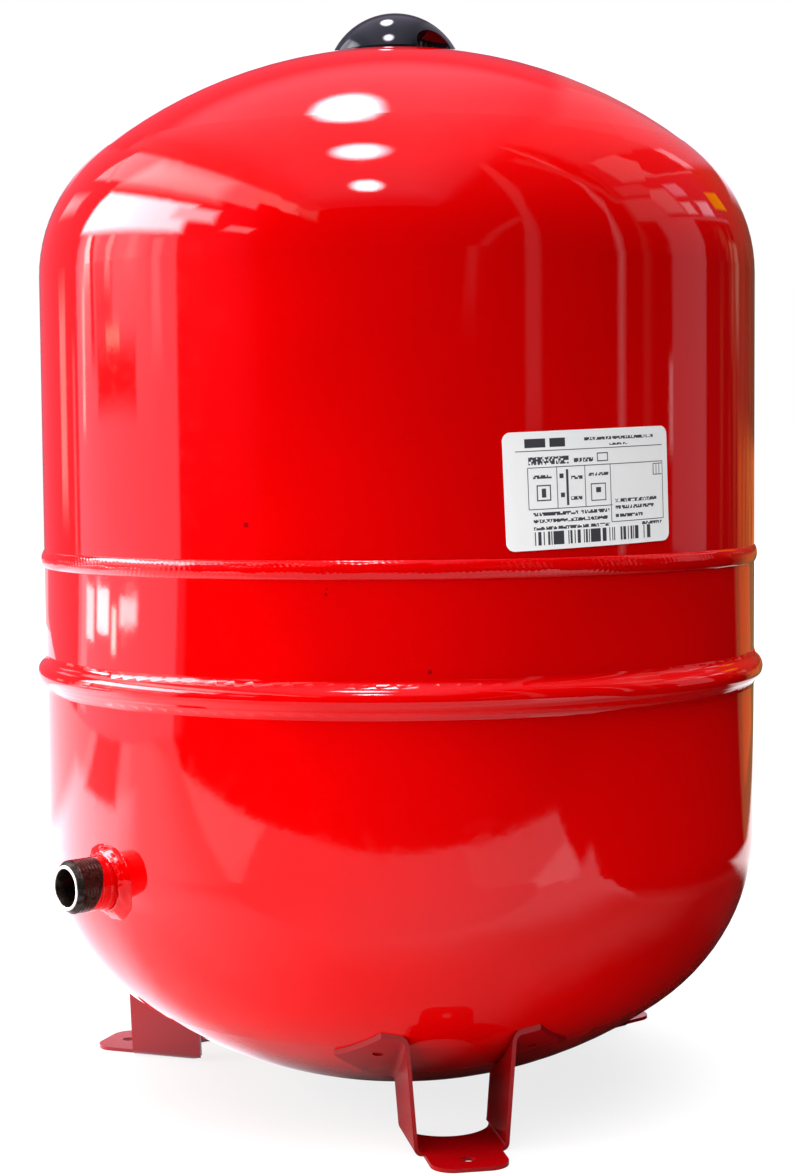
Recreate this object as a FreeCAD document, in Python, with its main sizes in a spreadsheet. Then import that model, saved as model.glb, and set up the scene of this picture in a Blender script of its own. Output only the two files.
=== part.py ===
"""Floor-standing heating expansion vessel with its gas valve, water connection and three feet.

Frame: origin on the floor under the vessel's axis, +Z up, the water connection points to -Y.
Millimetres and degrees throughout.
"""
import FreeCAD
import Part
import Sketcher
import math
import os

doc = FreeCAD.newDocument("expansion_vessel")
V = FreeCAD.Vector

# Driving dimensions

sheet = doc.addObject("Spreadsheet::Sheet", "dims")

DIMENSIONS = [
    # vessel
    ("shell_radius", 190.0),
    ("wall", 1.6),
    ("top_crown", 255.0),
    ("top_knuckle", 82.0),
    ("low_crown", 245.0),
    ("low_knuckle", 108.0),
    ("floor_gap", 1.95),
    ("upper_straight", 146.4),
    # joint of the two shells
    ("seam_lift", 59.7),
    ("root_gap", 2.4),
    ("lap_length", 14.0),
    ("lap_clearance", 0.1),
    ("weld_half", 4.7),
    ("weld_rise", 1.8),
    # rolled bead and what it holds
    ("bead_lift", 86.7),
    ("bead_half", 9.5),
    ("bead_rise", 4.6),
    ("bead_crest", 7.0),
    ("rubber", 2.0),
    ("rubber_gap", 2.4),
    ("bulb_radius", 4.0),
    ("bulb_clearance", 0.3),
    ("clamp_half", 15.0),
    ("clamp_band", 3.0),
    ("clamp_lip", 4.0),
    # water connection
    ("pipe_drop", 8.7),
    ("thread_radius", 13.22),
    ("thread_length", 15.0),
    ("stub_rise", 0.2),
    ("pipe_bore", 9.3),
    ("pipe_reach", 24.0),
    ("pipe_clearance", 0.6),
    ("pipe_chamfer", 2.5),
    ("pipe_chamfer_run", 3.0),
    ("pipe_fit", 0.1),
    ("pipe_weld_out", 7.0),
    ("pipe_weld_up", 4.5),
    # feet
    ("foot_sheet", 2.0),
    ("foot_setback", 36.0),
    ("foot_depth", 42.0),
    ("foot_half", 23.2),
    ("foot_lean_angle", 4.4),
    ("foot_fold", 4.0),
    ("foot_splice", 12.0),
    ("foot_azimuth", -30.0),
    ("foot_count", 3.0),
    ("tongue_length", 27.5),
    ("tongue_half", 19.0),
    ("tongue_corner", 11.0),
    ("anchor_step", 14.2),
    ("anchor_radius", 3.5),
    ("scallop_step", 20.0),
    ("scallop_radius", 23.0),
    ("tab_side", 39.2),
    ("tab_point", 58.2),
    ("tab_point_step", 18.3),
    ("tab_fold", 3.0),
    ("tab_hole_inset", 14.8),
    ("tab_hole_side", 38.2),
    ("tab_hole_radius", 2.6),
    ("plug_thickness", 1.1),
    # label
    ("label_width", 91.0),
    ("label_tall", 54.5),
    ("label_corner", 4.0),
    ("label_film", 0.25),
    ("label_glue", 0.1),
    ("label_lift", 4.45),
    ("label_tilt_angle", 2.2),
    ("label_azimuth", 78.1),
    # gas valve
    ("boss_radius", 12.0),
    ("boss_stand", 4.6),
    ("boss_drop", 5.6),
    ("boss_weld_leg", 3.0),
    ("boss_fit", 0.1),
    ("shank_radius", 6.0),
    ("shank_length", 13.0),
    ("gasket_radius", 9.0),
    ("gasket_thick", 1.2),
    ("hex_flats", 17.0),
    ("hex_tall", 4.0),
    ("stem_radius", 3.87),
    ("stem_tall", 6.9),
    ("core_bore", 2.7),
    ("throat_bore", 2.05),
    ("seat_tall", 2.5),
    ("seat_height", 1.5),
    # valve core
    ("thread_fit", 0.1),
    ("plug_sink", 1.2),
    ("plug_tall", 5.0),
    ("plug_slot", 1.0),
    ("barrel_radius", 1.75),
    ("barrel_length", 16.5),
    ("barrel_bore", 1.2),
    ("barrel_floor", 0.7),
    ("pin_radius", 0.5),
    ("pin_play", 0.3),
    ("pin_show", 0.6),
    ("collar_radius", 0.95),
    ("collar_tall", 0.6),
    ("collar_play", 0.3),
    ("spring_wire", 0.2),
    ("spring_radius", 0.84),
    ("spring_turns", 7.0),
    ("poppet_radius", 1.6),
    ("poppet_tall", 1.6),
    ("poppet_seal_tall", 0.8),
    ("poppet_play", 0.1),
    # cap over the valve
    ("cap_radius", 34.0),
    ("cap_stand", 21.1),
    ("cap_skirt", 1.25),
    ("cap_wall", 1.8),
    ("cap_clearance", 0.3),
    ("sleeve_wall", 1.6),
    ("rib_thick", 1.2),
    ("rib_count", 6.0),
    ("rib_height", 5.0),
    ("grip_inset", 1.0),
    ("grip_height", 3.0),
    ("grip_deep", 9.0),
    ("grip_wide", 11.5),
    ("grip_tall", 9.5),
]

# Places that follow from the dimensions, each a formula on the sheet
FORMULAS = [
    ("low_tangent", "floor_gap + low_crown"
                    " - sqrt((low_crown - low_knuckle)^2 - (shell_radius - low_knuckle)^2)"),
    ("bead_height", "low_tangent + bead_lift"),
    ("seam_height", "bead_height + seam_lift"),
    ("top_tangent", "seam_height + upper_straight"),
    ("pipe_radius", "thread_radius + stub_rise"),
    ("pipe_height", "low_tangent - pipe_drop"),
    ("foot_outer", "shell_radius - foot_setback"),
    ("foot_inner", "foot_outer - foot_depth"),
    ("tongue_reach", "foot_outer + tongue_length"),
    ("anchor_reach", "foot_outer + anchor_step"),
    ("scallop_reach", "foot_inner + scallop_step"),
    ("tab_point_reach", "foot_inner + tab_point_step"),
    ("tab_hole_reach", "foot_outer - tab_hole_inset"),
    ("tab_hole_polar", "asin(sqrt(tab_hole_reach^2 + tab_hole_side^2) / low_crown) / 1 deg"),
    ("tab_hole_swing", "atan(tab_hole_side / tab_hole_reach) / 1 deg"),
    ("label_height", "seam_height + weld_half + label_lift + label_tall / 2"),
    ("cap_rise", "cap_stand + top_crown - cap_skirt"
                 " - sqrt((top_crown + cap_clearance)^2 - cap_radius^2)"),
    ("cap_sphere", "(cap_radius^2 + cap_rise^2) / (2 * cap_rise)"),
    ("grip_reach", "cap_radius - grip_inset"),
]

for row, (alias, content) in enumerate(DIMENSIONS + FORMULAS, start=1):
    sheet.set("A%d" % row, alias)
    sheet.set("B%d" % row, repr(content) if isinstance(content, float) else "=" + content)
    sheet.setAlias("B%d" % row, alias)
doc.recompute()


def value(expression):
    """Return the number that an expression on the sheet gives."""
    result = sheet.evalExpression(expression)
    return float(getattr(result, "Value", result))


# Derived places, as expressions on the sheet

def dome_rise(crown, knuckle):
    """Height of a dome of crown and knuckle arcs above its tangent line."""
    return ("(dims.{c} - sqrt((dims.{c} - dims.{k})^2 - (dims.shell_radius - dims.{k})^2))"
            .format(c=crown, k=knuckle))


def crown_share(crown, knuckle):
    """Sine of the angle at which the crown arc meets the knuckle arc."""
    return "((dims.shell_radius - dims.{k}) / (dims.{c} - dims.{k}))".format(c=crown, k=knuckle)


TOP_APEX = "(dims.top_tangent + %s)" % dome_rise("top_crown", "top_knuckle")
LOW_APEX = "(dims.low_tangent - %s)" % dome_rise("low_crown", "low_knuckle")
TOP_SHARE = crown_share("top_crown", "top_knuckle")
LOW_SHARE = crown_share("low_crown", "low_knuckle")
TOP_CENTRE = "(%s - dims.top_crown)" % TOP_APEX
LOW_CENTRE = "(%s + dims.low_crown)" % LOW_APEX


def bind(sketch, constraint, expression):
    """Add a constraint and tie its value to the sheet."""
    index = sketch.addConstraint(constraint)
    if "dims." in expression:
        sketch.setExpression("Constraints[%d]" % index, expression)


def arc_between(start, end, radius, side):
    """The short arc from start to end, with its centre on the given side of the way."""
    chord = end - start
    across = V(-chord.y, chord.x, 0).normalize() * side
    rise = math.sqrt(max(radius ** 2 - chord.Length ** 2 / 4, 0))
    centre = (start + end) * 0.5 + across * rise
    first, last = (start, end) if side > 0 else (end, start)
    angles = [math.atan2(p.y - centre.y, p.x - centre.x) for p in (first, last)]
    return Part.ArcOfCircle(Part.Circle(centre, V(0, 0, 1), radius), *angles)


def draw(sketch, corners):
    """Draw a closed outline through corners, each tied to the sheet.

    A corner is (x, y), or (x, y, radius, side) where an arc leads to it: side is 1 where the
    centre of the arc lies left of the way there, and -1 where it lies right.
    """
    points = [V(value(corner[0]), value(corner[1]), 0) for corner in corners]
    ends = []
    for index, corner in enumerate(corners):
        start, end = points[index - 1], points[index]
        if len(corner) == 2:
            sketch.addGeometry(Part.LineSegment(start, end), False)
            ends.append((1, 2))
        else:
            radius, side = corner[2:]
            sketch.addGeometry(arc_between(start, end, value(radius), side), False)
            ends.append((1, 2) if side > 0 else (2, 1))
            bind(sketch, Sketcher.Constraint("Radius", index, value(radius)), radius)
    for index, corner in enumerate(corners):
        following = (index + 1) % len(corners)
        end = ends[index][1]
        sketch.addConstraint(
            Sketcher.Constraint("Coincident", index, end, following, ends[following][0]))
        bind(sketch, Sketcher.Constraint("DistanceX", -1, 1, index, end, points[index].x), corner[0])
        bind(sketch, Sketcher.Constraint("DistanceY", -1, 1, index, end, points[index].y), corner[1])


def backwards(run):
    """The same open run of corners, walked the other way."""
    result = []
    for index in range(len(run) - 1, -1, -1):
        arc = run[index + 1][2:] if index + 1 < len(run) else ()
        result.append(run[index][:2] + ((arc[0], -arc[1]) if arc else ()))
    return result


def plane_sketch(body, role, name):
    """A sketch on one of the body's own origin planes."""
    sketch = body.newObject("Sketcher::SketchObject", name)
    plane = [item for item in body.Origin.OriginFeatures if item.Role == role][0]
    sketch.AttachmentSupport = [(plane, "")]
    sketch.MapMode = "FlatFace"
    return sketch


def turned(name, corners):
    """A body turned about Z from an outline in the XZ plane."""
    body = doc.addObject("PartDesign::Body", name)
    sketch = plane_sketch(body, "XZ_Plane", name + "_outline")
    draw(sketch, corners)
    turn = body.newObject("PartDesign::Revolution", name + "_turn")
    turn.Profile = sketch
    turn.ReferenceAxis = (sketch, ["V_Axis"])
    turn.Angle = 360
    body.Tip = turn
    return body


def grooved(body, name, corners):
    """Turn a groove out of a body, from an outline in the XZ plane."""
    sketch = plane_sketch(body, "XZ_Plane", name + "_outline")
    draw(sketch, corners)
    groove = body.newObject("PartDesign::Groove", name)
    groove.Profile = sketch
    groove.ReferenceAxis = (sketch, ["V_Axis"])
    groove.Angle = 360
    body.Tip = groove
    return groove


def padded(body, name, role, corners, length, offset="0"):
    """Pad an outline from an origin plane of the body, starting at offset."""
    sketch = plane_sketch(body, role, name + "_outline")
    draw(sketch, corners)
    sketch.setExpression("AttachmentOffset.Base.z", offset)
    pad = body.newObject("PartDesign::Pad", name)
    pad.Profile = sketch
    pad.setExpression("Length", length)
    body.Tip = pad
    return pad


def combined(kind, name, **links):
    """A Part boolean such as a cut, with its shapes given by keyword."""
    result = doc.addObject("Part::" + kind, name)
    for key, item in links.items():
        setattr(result, key, item)
    if hasattr(result, "Refine"):
        result.Refine = True
    return result


def primitive(kind, name, **sizes):
    """A Part primitive whose sizes are expressions on the sheet."""
    result = doc.addObject("Part::" + kind, name)
    for key, expression in sizes.items():
        result.setExpression(key, expression)
    return result


def placed(item, axis, angle, x="0", y="0", z="0"):
    """Turn an object about an axis and move it, by expressions on the sheet."""
    item.Placement = FreeCAD.Placement(V(), FreeCAD.Rotation(axis, value(angle)))
    if "dims." in angle:
        item.setExpression("Placement.Rotation.Angle", angle)
    for letter, expression in (("x", x), ("y", y), ("z", z)):
        item.setExpression("Placement.Base." + letter, expression)
    return item


# Outlines of the two shells, walked from below, at an inset from the outer face

def low_run(inset):
    """Bottom dome of the lower shell, from the axis to the tangent line."""
    crown = "(dims.low_crown - %s)" % inset
    return [
        ("0", "%s + %s" % (LOW_APEX, inset)),
        ("%s * %s" % (crown, LOW_SHARE),
         "%s - %s * sqrt(1 - %s^2)" % (LOW_CENTRE, crown, LOW_SHARE), crown, 1),
        ("dims.shell_radius - %s" % inset, "dims.low_tangent",
         "dims.low_knuckle - %s" % inset, 1),
    ]


BEAD_ARCS = "((dims.bead_half^2 + dims.bead_rise^2) / (2 * dims.bead_rise))"
BEAD_SINE = "(dims.bead_half / %s)" % BEAD_ARCS
BEAD_COSINE = "(1 - dims.bead_rise / %s)" % BEAD_ARCS
BEAD_ROOT = "(%s - dims.bead_crest)" % BEAD_ARCS
RIM_STEP = "(dims.wall + dims.lap_clearance)"
RIM_START = "(dims.seam_height - dims.root_gap / 2)"
RIM_END = "(dims.seam_height + dims.root_gap / 2)"


def bead_run(inset):
    """Rolled bead of the lower shell: root arc, crest arc and root arc."""
    side = "dims.shell_radius - %s" % inset
    root = "(%s + %s)" % (BEAD_ROOT, inset)
    across = "dims.shell_radius + %s - %s * %s" % (BEAD_ROOT, root, BEAD_COSINE)
    along = "(dims.bead_half - %s * %s)" % (root, BEAD_SINE)
    return [
        (side, "dims.bead_height - dims.bead_half"),
        (across, "dims.bead_height - %s" % along, root, -1),
        (across, "dims.bead_height + %s" % along, "dims.bead_crest - %s" % inset, 1),
        (side, "dims.bead_height + dims.bead_half", root, -1),
    ]


def rim_run(inset):
    """Joggled rim of the lower shell, which slides into the upper shell."""
    side = "dims.shell_radius - %s" % inset
    return [
        (side, RIM_START),
        (side + " - " + RIM_STEP, RIM_END),
        (side + " - " + RIM_STEP, "dims.seam_height + dims.lap_length"),
    ]


def top_run(inset):
    """Upper shell from its rim to the hole for the valve boss."""
    crown = "(dims.top_crown - %s)" % inset
    hole = "(dims.boss_radius + dims.boss_fit)"
    return [
        ("dims.shell_radius - %s" % inset, RIM_END),
        ("dims.shell_radius - %s" % inset, "dims.top_tangent"),
        ("%s * %s" % (crown, TOP_SHARE), "%s + %s * sqrt(1 - %s^2)" % (TOP_CENTRE, crown, TOP_SHARE),
         "dims.top_knuckle - %s" % inset, 1),
        (hole, "%s + sqrt(%s^2 - %s^2)" % (TOP_CENTRE, crown, hole), crown, 1),
    ]


def dome_height(radius):
    """Height of the upper dome's outer face at a radius near the axis."""
    return "(%s + sqrt(dims.top_crown^2 - (%s)^2))" % (TOP_CENTRE, radius)


# Shells

def lower_side(inset):
    return low_run(inset) + bead_run(inset) + rim_run(inset)


lower_shell = turned("lower_shell", lower_side("0") + backwards(lower_side("dims.wall")))
port_sketch = plane_sketch(lower_shell, "XZ_Plane", "port_outline")
port_sketch.addGeometry(
    Part.Circle(V(0, value("dims.pipe_height"), 0), V(0, 0, 1), value("dims.pipe_radius")), False)
bind(port_sketch, Sketcher.Constraint("DistanceX", -1, 1, 0, 3, 0.0), "0")
bind(port_sketch, Sketcher.Constraint("DistanceY", -1, 1, 0, 3, value("dims.pipe_height")),
     "dims.pipe_height")
bind(port_sketch, Sketcher.Constraint("Radius", 0, value("dims.pipe_radius + dims.pipe_fit")),
     "dims.pipe_radius + dims.pipe_fit")
port = lower_shell.newObject("PartDesign::Pocket", "port")
port.Profile = port_sketch
port.Reversed = True
port.setExpression("Length", "dims.shell_radius + dims.bead_rise")
lower_shell.Tip = port

upper_shell = turned("upper_shell", top_run("0") + backwards(top_run("dims.wall")))

# Girth weld: a low bead over the seam, with its root in the joggle

girth_weld = turned("girth_weld", [
    ("dims.shell_radius", "dims.seam_height - dims.weld_half"),
    ("dims.shell_radius", "dims.seam_height + dims.weld_half",
     "(dims.weld_half^2 + dims.weld_rise^2) / (2 * dims.weld_rise)", 1),
    ("dims.shell_radius", RIM_END),
    ("dims.shell_radius - " + RIM_STEP, RIM_END),
    ("dims.shell_radius", RIM_START),
])

# Diaphragm: a rubber cup with a round rim that lies in the rolled bead

INSIDE = "(dims.shell_radius - dims.wall)"
BULB_X = ("(dims.shell_radius + dims.bead_rise - dims.wall - dims.bulb_clearance"
          " - dims.bulb_radius)")
WEB_OUT = "(%s - dims.bulb_clearance)" % INSIDE
WEB_IN = "(%s - dims.rubber)" % WEB_OUT
CUP_OUT = "(dims.wall + dims.rubber_gap)"
CUP_IN = "(%s + dims.rubber)" % CUP_OUT
CLAMP_LOW = "(dims.bead_height - dims.clamp_half)"


def bulb_corner(x):
    """Corner where the diaphragm's web runs into its round rim."""
    return (x, "dims.bead_height - sqrt(dims.bulb_radius^2 - (%s - %s)^2)" % (BULB_X, x))


def cup_run(inset, web):
    """One face of the rubber cup, from the axis to the web under the rim."""
    side = "dims.shell_radius - %s" % inset
    return low_run(inset) + [
        (side, "%s - 3 * dims.rubber_gap" % CLAMP_LOW),
        (web, "%s - dims.rubber" % CLAMP_LOW),
    ]


diaphragm = turned("diaphragm", cup_run(CUP_OUT, WEB_OUT) + [
    bulb_corner(WEB_OUT),
    (BULB_X + " + dims.bulb_radius", "dims.bead_height", "dims.bulb_radius", 1),
    (BULB_X, "dims.bead_height + dims.bulb_radius", "dims.bulb_radius", 1),
    (BULB_X + " - dims.bulb_radius", "dims.bead_height", "dims.bulb_radius", 1),
    bulb_corner(WEB_IN) + ("dims.bulb_radius", 1),
] + backwards(cup_run(CUP_IN, WEB_IN)))

# Clamp ring: presses the rim of the diaphragm into the bead

GROOVE_RADIUS = "(dims.bulb_radius + dims.lap_clearance)"
GROOVE_HALF = "sqrt(%s^2 - (%s - %s)^2)" % (GROOVE_RADIUS, BULB_X, WEB_IN)
CLAMP_IN = "%s - dims.clamp_band" % WEB_IN

clamp_ring = turned("clamp_ring", [
    (CLAMP_IN, CLAMP_LOW),
    (WEB_IN, CLAMP_LOW),
    (WEB_IN, "dims.bead_height - " + GROOVE_HALF),
    (WEB_IN, "dims.bead_height + " + GROOVE_HALF, GROOVE_RADIUS, -1),
    (WEB_IN, "dims.bead_height + dims.clamp_half - dims.clamp_lip"),
    (INSIDE, "dims.bead_height + dims.clamp_half - dims.clamp_lip"),
    (INSIDE, "dims.bead_height + dims.clamp_half"),
    (CLAMP_IN, "dims.bead_height + dims.clamp_half"),
])

# Solid of the lower shell's outer face, to fit the feet and the welds to it


def form_of(name, inset):
    """Solid inside the plain outer face up to the upper dome, set in by inset."""
    side = "dims.shell_radius - %s" % inset
    return turned(name, low_run(inset) + [(side, "dims.top_tangent"), ("0", "dims.top_tangent")])


form = form_of("vessel_form", "0")
grown_form = form_of("foot_form", "(-dims.foot_sheet)")
plug_form = form_of("plug_form", "(-dims.plug_thickness)")

# Water connection: a male pipe stub that lies along -Y

TOWARDS_FRONT = V(1, 0, 0)

PIPE_MOUTH = "(dims.shell_radius + dims.pipe_reach)"
PIPE_TAIL = "(dims.shell_radius - %s + dims.pipe_clearance)" % CUP_OUT
THREAD_FRONT = "(%s - dims.pipe_chamfer_run)" % PIPE_MOUTH

water_connection = turned("water_connection", [
    ("dims.pipe_bore", PIPE_TAIL),
    ("dims.pipe_radius", PIPE_TAIL),
    ("dims.pipe_radius", THREAD_FRONT + " - dims.thread_length"),
    ("dims.thread_radius", THREAD_FRONT + " - dims.thread_length"),
    ("dims.thread_radius", THREAD_FRONT),
    ("dims.thread_radius - dims.pipe_chamfer", PIPE_MOUTH),
    ("dims.pipe_bore", PIPE_MOUTH),
])
placed(water_connection, TOWARDS_FRONT, "90", z="dims.pipe_height")

weld_cone = turned("weld_cone", [
    ("0", "dims.shell_radius - dims.pipe_weld_out"),
    ("dims.pipe_radius + 1.5 * dims.pipe_weld_out", "dims.shell_radius - dims.pipe_weld_out"),
    ("dims.pipe_radius + dims.pipe_weld_out", "dims.shell_radius"),
    ("dims.pipe_radius", "dims.shell_radius + dims.pipe_weld_up",
     "2 * dims.pipe_weld_out", 1),
    ("0", "dims.shell_radius + dims.pipe_weld_up"),
])
placed(weld_cone, TOWARDS_FRONT, "90", z="dims.pipe_height")
pipe_core = primitive("Cylinder", "pipe_core", Radius="dims.pipe_radius",
                      Height=PIPE_MOUTH)
placed(pipe_core, TOWARDS_FRONT, "90", z="dims.pipe_height")
weld_tools = combined("Fuse", "weld_tools", Base=form, Tool=pipe_core)
connection_weld = combined("Cut", "connection_weld", Base=weld_cone, Tool=weld_tools)

# Feet: a folded strip with a tongue on the floor and two tabs that follow the dome.
# Each is drawn once, pointing to +X, and half of it is mirrored.

LEAN = "dims.foot_lean_angle"
INNER_FOLD = "(dims.foot_fold - dims.foot_sheet)"
BEND_X = "(dims.foot_half - dims.foot_fold * tan((90 - %s) / 2))" % LEAN


def leg_corner(radius, height=None):
    """A corner on the leg's face that lies radius from the bend's centre line."""
    x = "%s + %s * cos(%s)" % (BEND_X, radius, LEAN)
    y = "(dims.foot_fold - %s * sin(%s))" % (radius, LEAN)
    if height is None:
        return (x, y)
    return ("%s + (%s - %s) * tan(%s)" % (x, height, y, LEAN), height)


strip = doc.addObject("PartDesign::Body", "foot_strip")
padded(strip, "strip", "YZ_Plane", [
    ("0", "0"),
    (BEND_X, "0"),
    leg_corner("dims.foot_fold") + ("dims.foot_fold", 1),
    leg_corner("dims.foot_fold", "dims.foot_splice"),
    leg_corner(INNER_FOLD, "dims.foot_splice"),
    leg_corner(INNER_FOLD),
    (BEND_X, "dims.foot_sheet", INNER_FOLD, -1),
    ("0", "dims.foot_sheet"),
], "dims.foot_outer - dims.foot_inner", "dims.foot_inner")


def under_dome(name, radius, dome, fold):
    """Space outside one face of the leg and under a dome, with the edge between them rounded."""
    block = doc.addObject("PartDesign::Body", name + "_block")
    side = "dims.tab_point + dims.tab_side"
    padded(block, name + "_space", "YZ_Plane", [
        leg_corner(radius, "dims.foot_splice"),
        (side, "dims.foot_splice"),
        (side, "dims.low_tangent"),
        leg_corner(radius, "dims.low_tangent"),
    ], "dims.foot_outer", "dims.foot_inner / 2")
    space = combined("Cut", name + "_open", Base=block, Tool=dome)
    doc.recompute()
    edges = space.Shape.Edges
    folds = []
    for face in space.Shape.Faces:
        flat = isinstance(face.Surface, Part.Plane)
        if flat and abs(face.normalAt(0, 0).y) > 0.9 and face.CenterOfMass.y < value("dims.tab_side"):
            folds += [edge for edge in face.Edges if not isinstance(edge.Curve, Part.Line)]
    rounded = doc.addObject("Part::Fillet", name + "_rounded")
    rounded.Base = space
    rounded.Edges = [(number + 1, value(fold), value(fold)) for number, edge in enumerate(edges)
                     if any(edge.isSame(item) for item in folds)]
    return rounded


inside_space = under_dome("inside", INNER_FOLD, form, "dims.tab_fold + dims.foot_sheet")
outside_space = under_dome("outside", "dims.foot_fold", grown_form, "dims.tab_fold")
folded_sheet = combined("Cut", "folded_sheet", Base=inside_space, Tool=outside_space)

tab_blank = doc.addObject("PartDesign::Body", "tab_blank")
padded(tab_blank, "tab_plan", "XY_Plane", [
    ("dims.foot_inner", "0"),
    ("dims.foot_outer", "0"),
    ("dims.foot_outer", "dims.tab_side"),
    ("dims.tab_point_reach", "dims.tab_point"),
    ("dims.foot_inner", "dims.tab_side - dims.foot_sheet"),
], "dims.low_tangent")
leg_and_tab = combined("Common", "leg_and_tab", Base=folded_sheet, Tool=tab_blank)
half_foot = combined("Fuse", "half_foot", Base=strip, Tool=leg_and_tab)
other_half = doc.addObject("Part::Mirroring", "other_half")
other_half.Source = half_foot
other_half.Normal = V(0, 1, 0)

tongue = doc.addObject("PartDesign::Body", "tongue")
CORNER = "dims.tongue_corner"
padded(tongue, "tongue_plate", "XY_Plane", [
    ("dims.foot_outer", "-dims.tongue_half"),
    ("dims.tongue_reach - " + CORNER, "-dims.tongue_half"),
    ("dims.tongue_reach", "%s - dims.tongue_half" % CORNER, CORNER, 1),
    ("dims.tongue_reach", "dims.tongue_half - " + CORNER),
    ("dims.tongue_reach - " + CORNER, "dims.tongue_half", CORNER, 1),
    ("dims.foot_outer", "dims.tongue_half"),
], "dims.foot_sheet")

foot_blank = doc.addObject("Part::MultiFuse", "foot_blank")
foot_blank.Shapes = [half_foot, other_half, tongue]
foot_blank.Refine = True

scallop = primitive("Cylinder", "scallop", Radius="dims.scallop_radius", Height="2 * dims.foot_sheet")
placed(scallop, V(0, 0, 1), "0", x="dims.scallop_reach - dims.scallop_radius",
       z="-dims.foot_sheet / 2")
anchor_hole = primitive("Cylinder", "anchor_hole", Radius="dims.anchor_radius",
                        Height="2 * dims.foot_sheet")
placed(anchor_hole, V(0, 0, 1), "0", x="dims.anchor_reach", z="-dims.foot_sheet / 2")


def tab_rod(name, side):
    """A rod from the centre of the crown out through the weld hole of a tab."""
    rod = primitive("Cylinder", name, Radius="dims.tab_hole_radius",
                    Height="dims.low_crown + 3 * dims.foot_sheet")
    turn = "create(<<rotation>>; %s * dims.tab_hole_swing; 180 - dims.tab_hole_polar; 0)" % side
    rod.setExpression("Placement", "create(<<placement>>; create(<<vector>>; 0; 0; %s); %s)"
                      % (LOW_CENTRE, turn))
    return rod


hole_rods = [tab_rod("tab_hole_near", 1), tab_rod("tab_hole_far", -1)]
foot_tools = doc.addObject("Part::MultiFuse", "foot_tools")
foot_tools.Shapes = [scallop, anchor_hole] + hole_rods
rod_pair = doc.addObject("Part::MultiFuse", "rod_pair")
rod_pair.Shapes = hole_rods
rod_ends = combined("Common", "rod_ends", Base=rod_pair, Tool=plug_form)

feet = []
plugs = []
for index, name in enumerate(("foot_right", "foot_rear", "foot_left")):
    turn = "dims.foot_azimuth + %d * 360 / dims.foot_count" % index
    foot = combined("Cut", name, Base=foot_blank, Tool=foot_tools)
    feet.append(placed(foot, V(0, 0, 1), turn))
    plug = combined("Cut", name + "_plugs", Base=rod_ends, Tool=form)
    plugs.append(placed(plug, V(0, 0, 1), turn))
foot_welds = doc.addObject("Part::Compound", "foot_welds")
foot_welds.Links = plugs

# Rating label: a film on the upper shell, turned a little as it was stuck on

label_blank = doc.addObject("PartDesign::Body", "label_blank")
HALF_WIDTH = "dims.label_width / 2"
HALF_TALL = "dims.label_tall / 2"
ROUND = "dims.label_corner"
padded(label_blank, "label_plate", "XZ_Plane", [
    ("-" + HALF_WIDTH, ROUND + " - " + HALF_TALL),
    (ROUND + " - " + HALF_WIDTH, "-" + HALF_TALL, ROUND, 1),
    (HALF_WIDTH + " - " + ROUND, "-" + HALF_TALL),
    (HALF_WIDTH, ROUND + " - " + HALF_TALL, ROUND, 1),
    (HALF_WIDTH, HALF_TALL + " - " + ROUND),
    (HALF_WIDTH + " - " + ROUND, HALF_TALL, ROUND, 1),
    (ROUND + " - " + HALF_WIDTH, HALF_TALL),
    ("-" + HALF_WIDTH, HALF_TALL + " - " + ROUND, ROUND, 1),
], "dims.shell_radius + dims.weld_rise")
placed(label_blank, V(0, -1, 0), "dims.label_tilt_angle", z="dims.label_height")
LABEL_BACK = "(dims.shell_radius + dims.label_glue)"
label_ring = turned("label_ring", [
    (LABEL_BACK, "dims.label_height - dims.label_tall"),
    (LABEL_BACK + " + dims.label_film", "dims.label_height - dims.label_tall"),
    (LABEL_BACK + " + dims.label_film", "dims.label_height + dims.label_tall"),
    (LABEL_BACK, "dims.label_height + dims.label_tall"),
])
rating_label = combined("Common", "rating_label", Base=label_ring, Tool=label_blank)
placed(rating_label, V(0, 0, 1), "dims.label_azimuth")

# Gas valve: boss, weld, gasket and body

BOSS_TOP = "(%s + dims.boss_stand)" % TOP_APEX
HEX_LOW = "(%s + dims.gasket_thick)" % BOSS_TOP
HEX_HIGH = "(%s + dims.hex_tall)" % HEX_LOW
STEM_TOP = "(%s + dims.stem_tall)" % HEX_HIGH
SHANK_END = "(%s - dims.shank_length)" % HEX_LOW

valve_boss = turned("valve_boss", [
    ("dims.shank_radius + dims.thread_fit", "%s - dims.boss_drop" % TOP_APEX),
    ("dims.boss_radius", "%s - dims.boss_drop" % TOP_APEX),
    ("dims.boss_radius", BOSS_TOP),
    ("dims.shank_radius + dims.thread_fit", BOSS_TOP),
])
WELD_TOE = "dims.boss_radius + dims.boss_weld_leg"
boss_weld = turned("boss_weld", [
    ("dims.boss_radius", dome_height("dims.boss_radius + dims.boss_fit")),
    ("dims.boss_radius + dims.boss_fit", dome_height("dims.boss_radius + dims.boss_fit")),
    (WELD_TOE, dome_height(WELD_TOE), "dims.top_crown", -1),
    ("dims.boss_radius", "%s + dims.boss_weld_leg" % dome_height("dims.boss_radius"),
     "2 * dims.boss_weld_leg", 1),
])
valve_gasket = turned("valve_gasket", [
    ("dims.shank_radius + dims.thread_fit", BOSS_TOP),
    ("dims.gasket_radius", BOSS_TOP),
    ("dims.gasket_radius", HEX_LOW),
    ("dims.shank_radius + dims.thread_fit", HEX_LOW),
])

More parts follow.
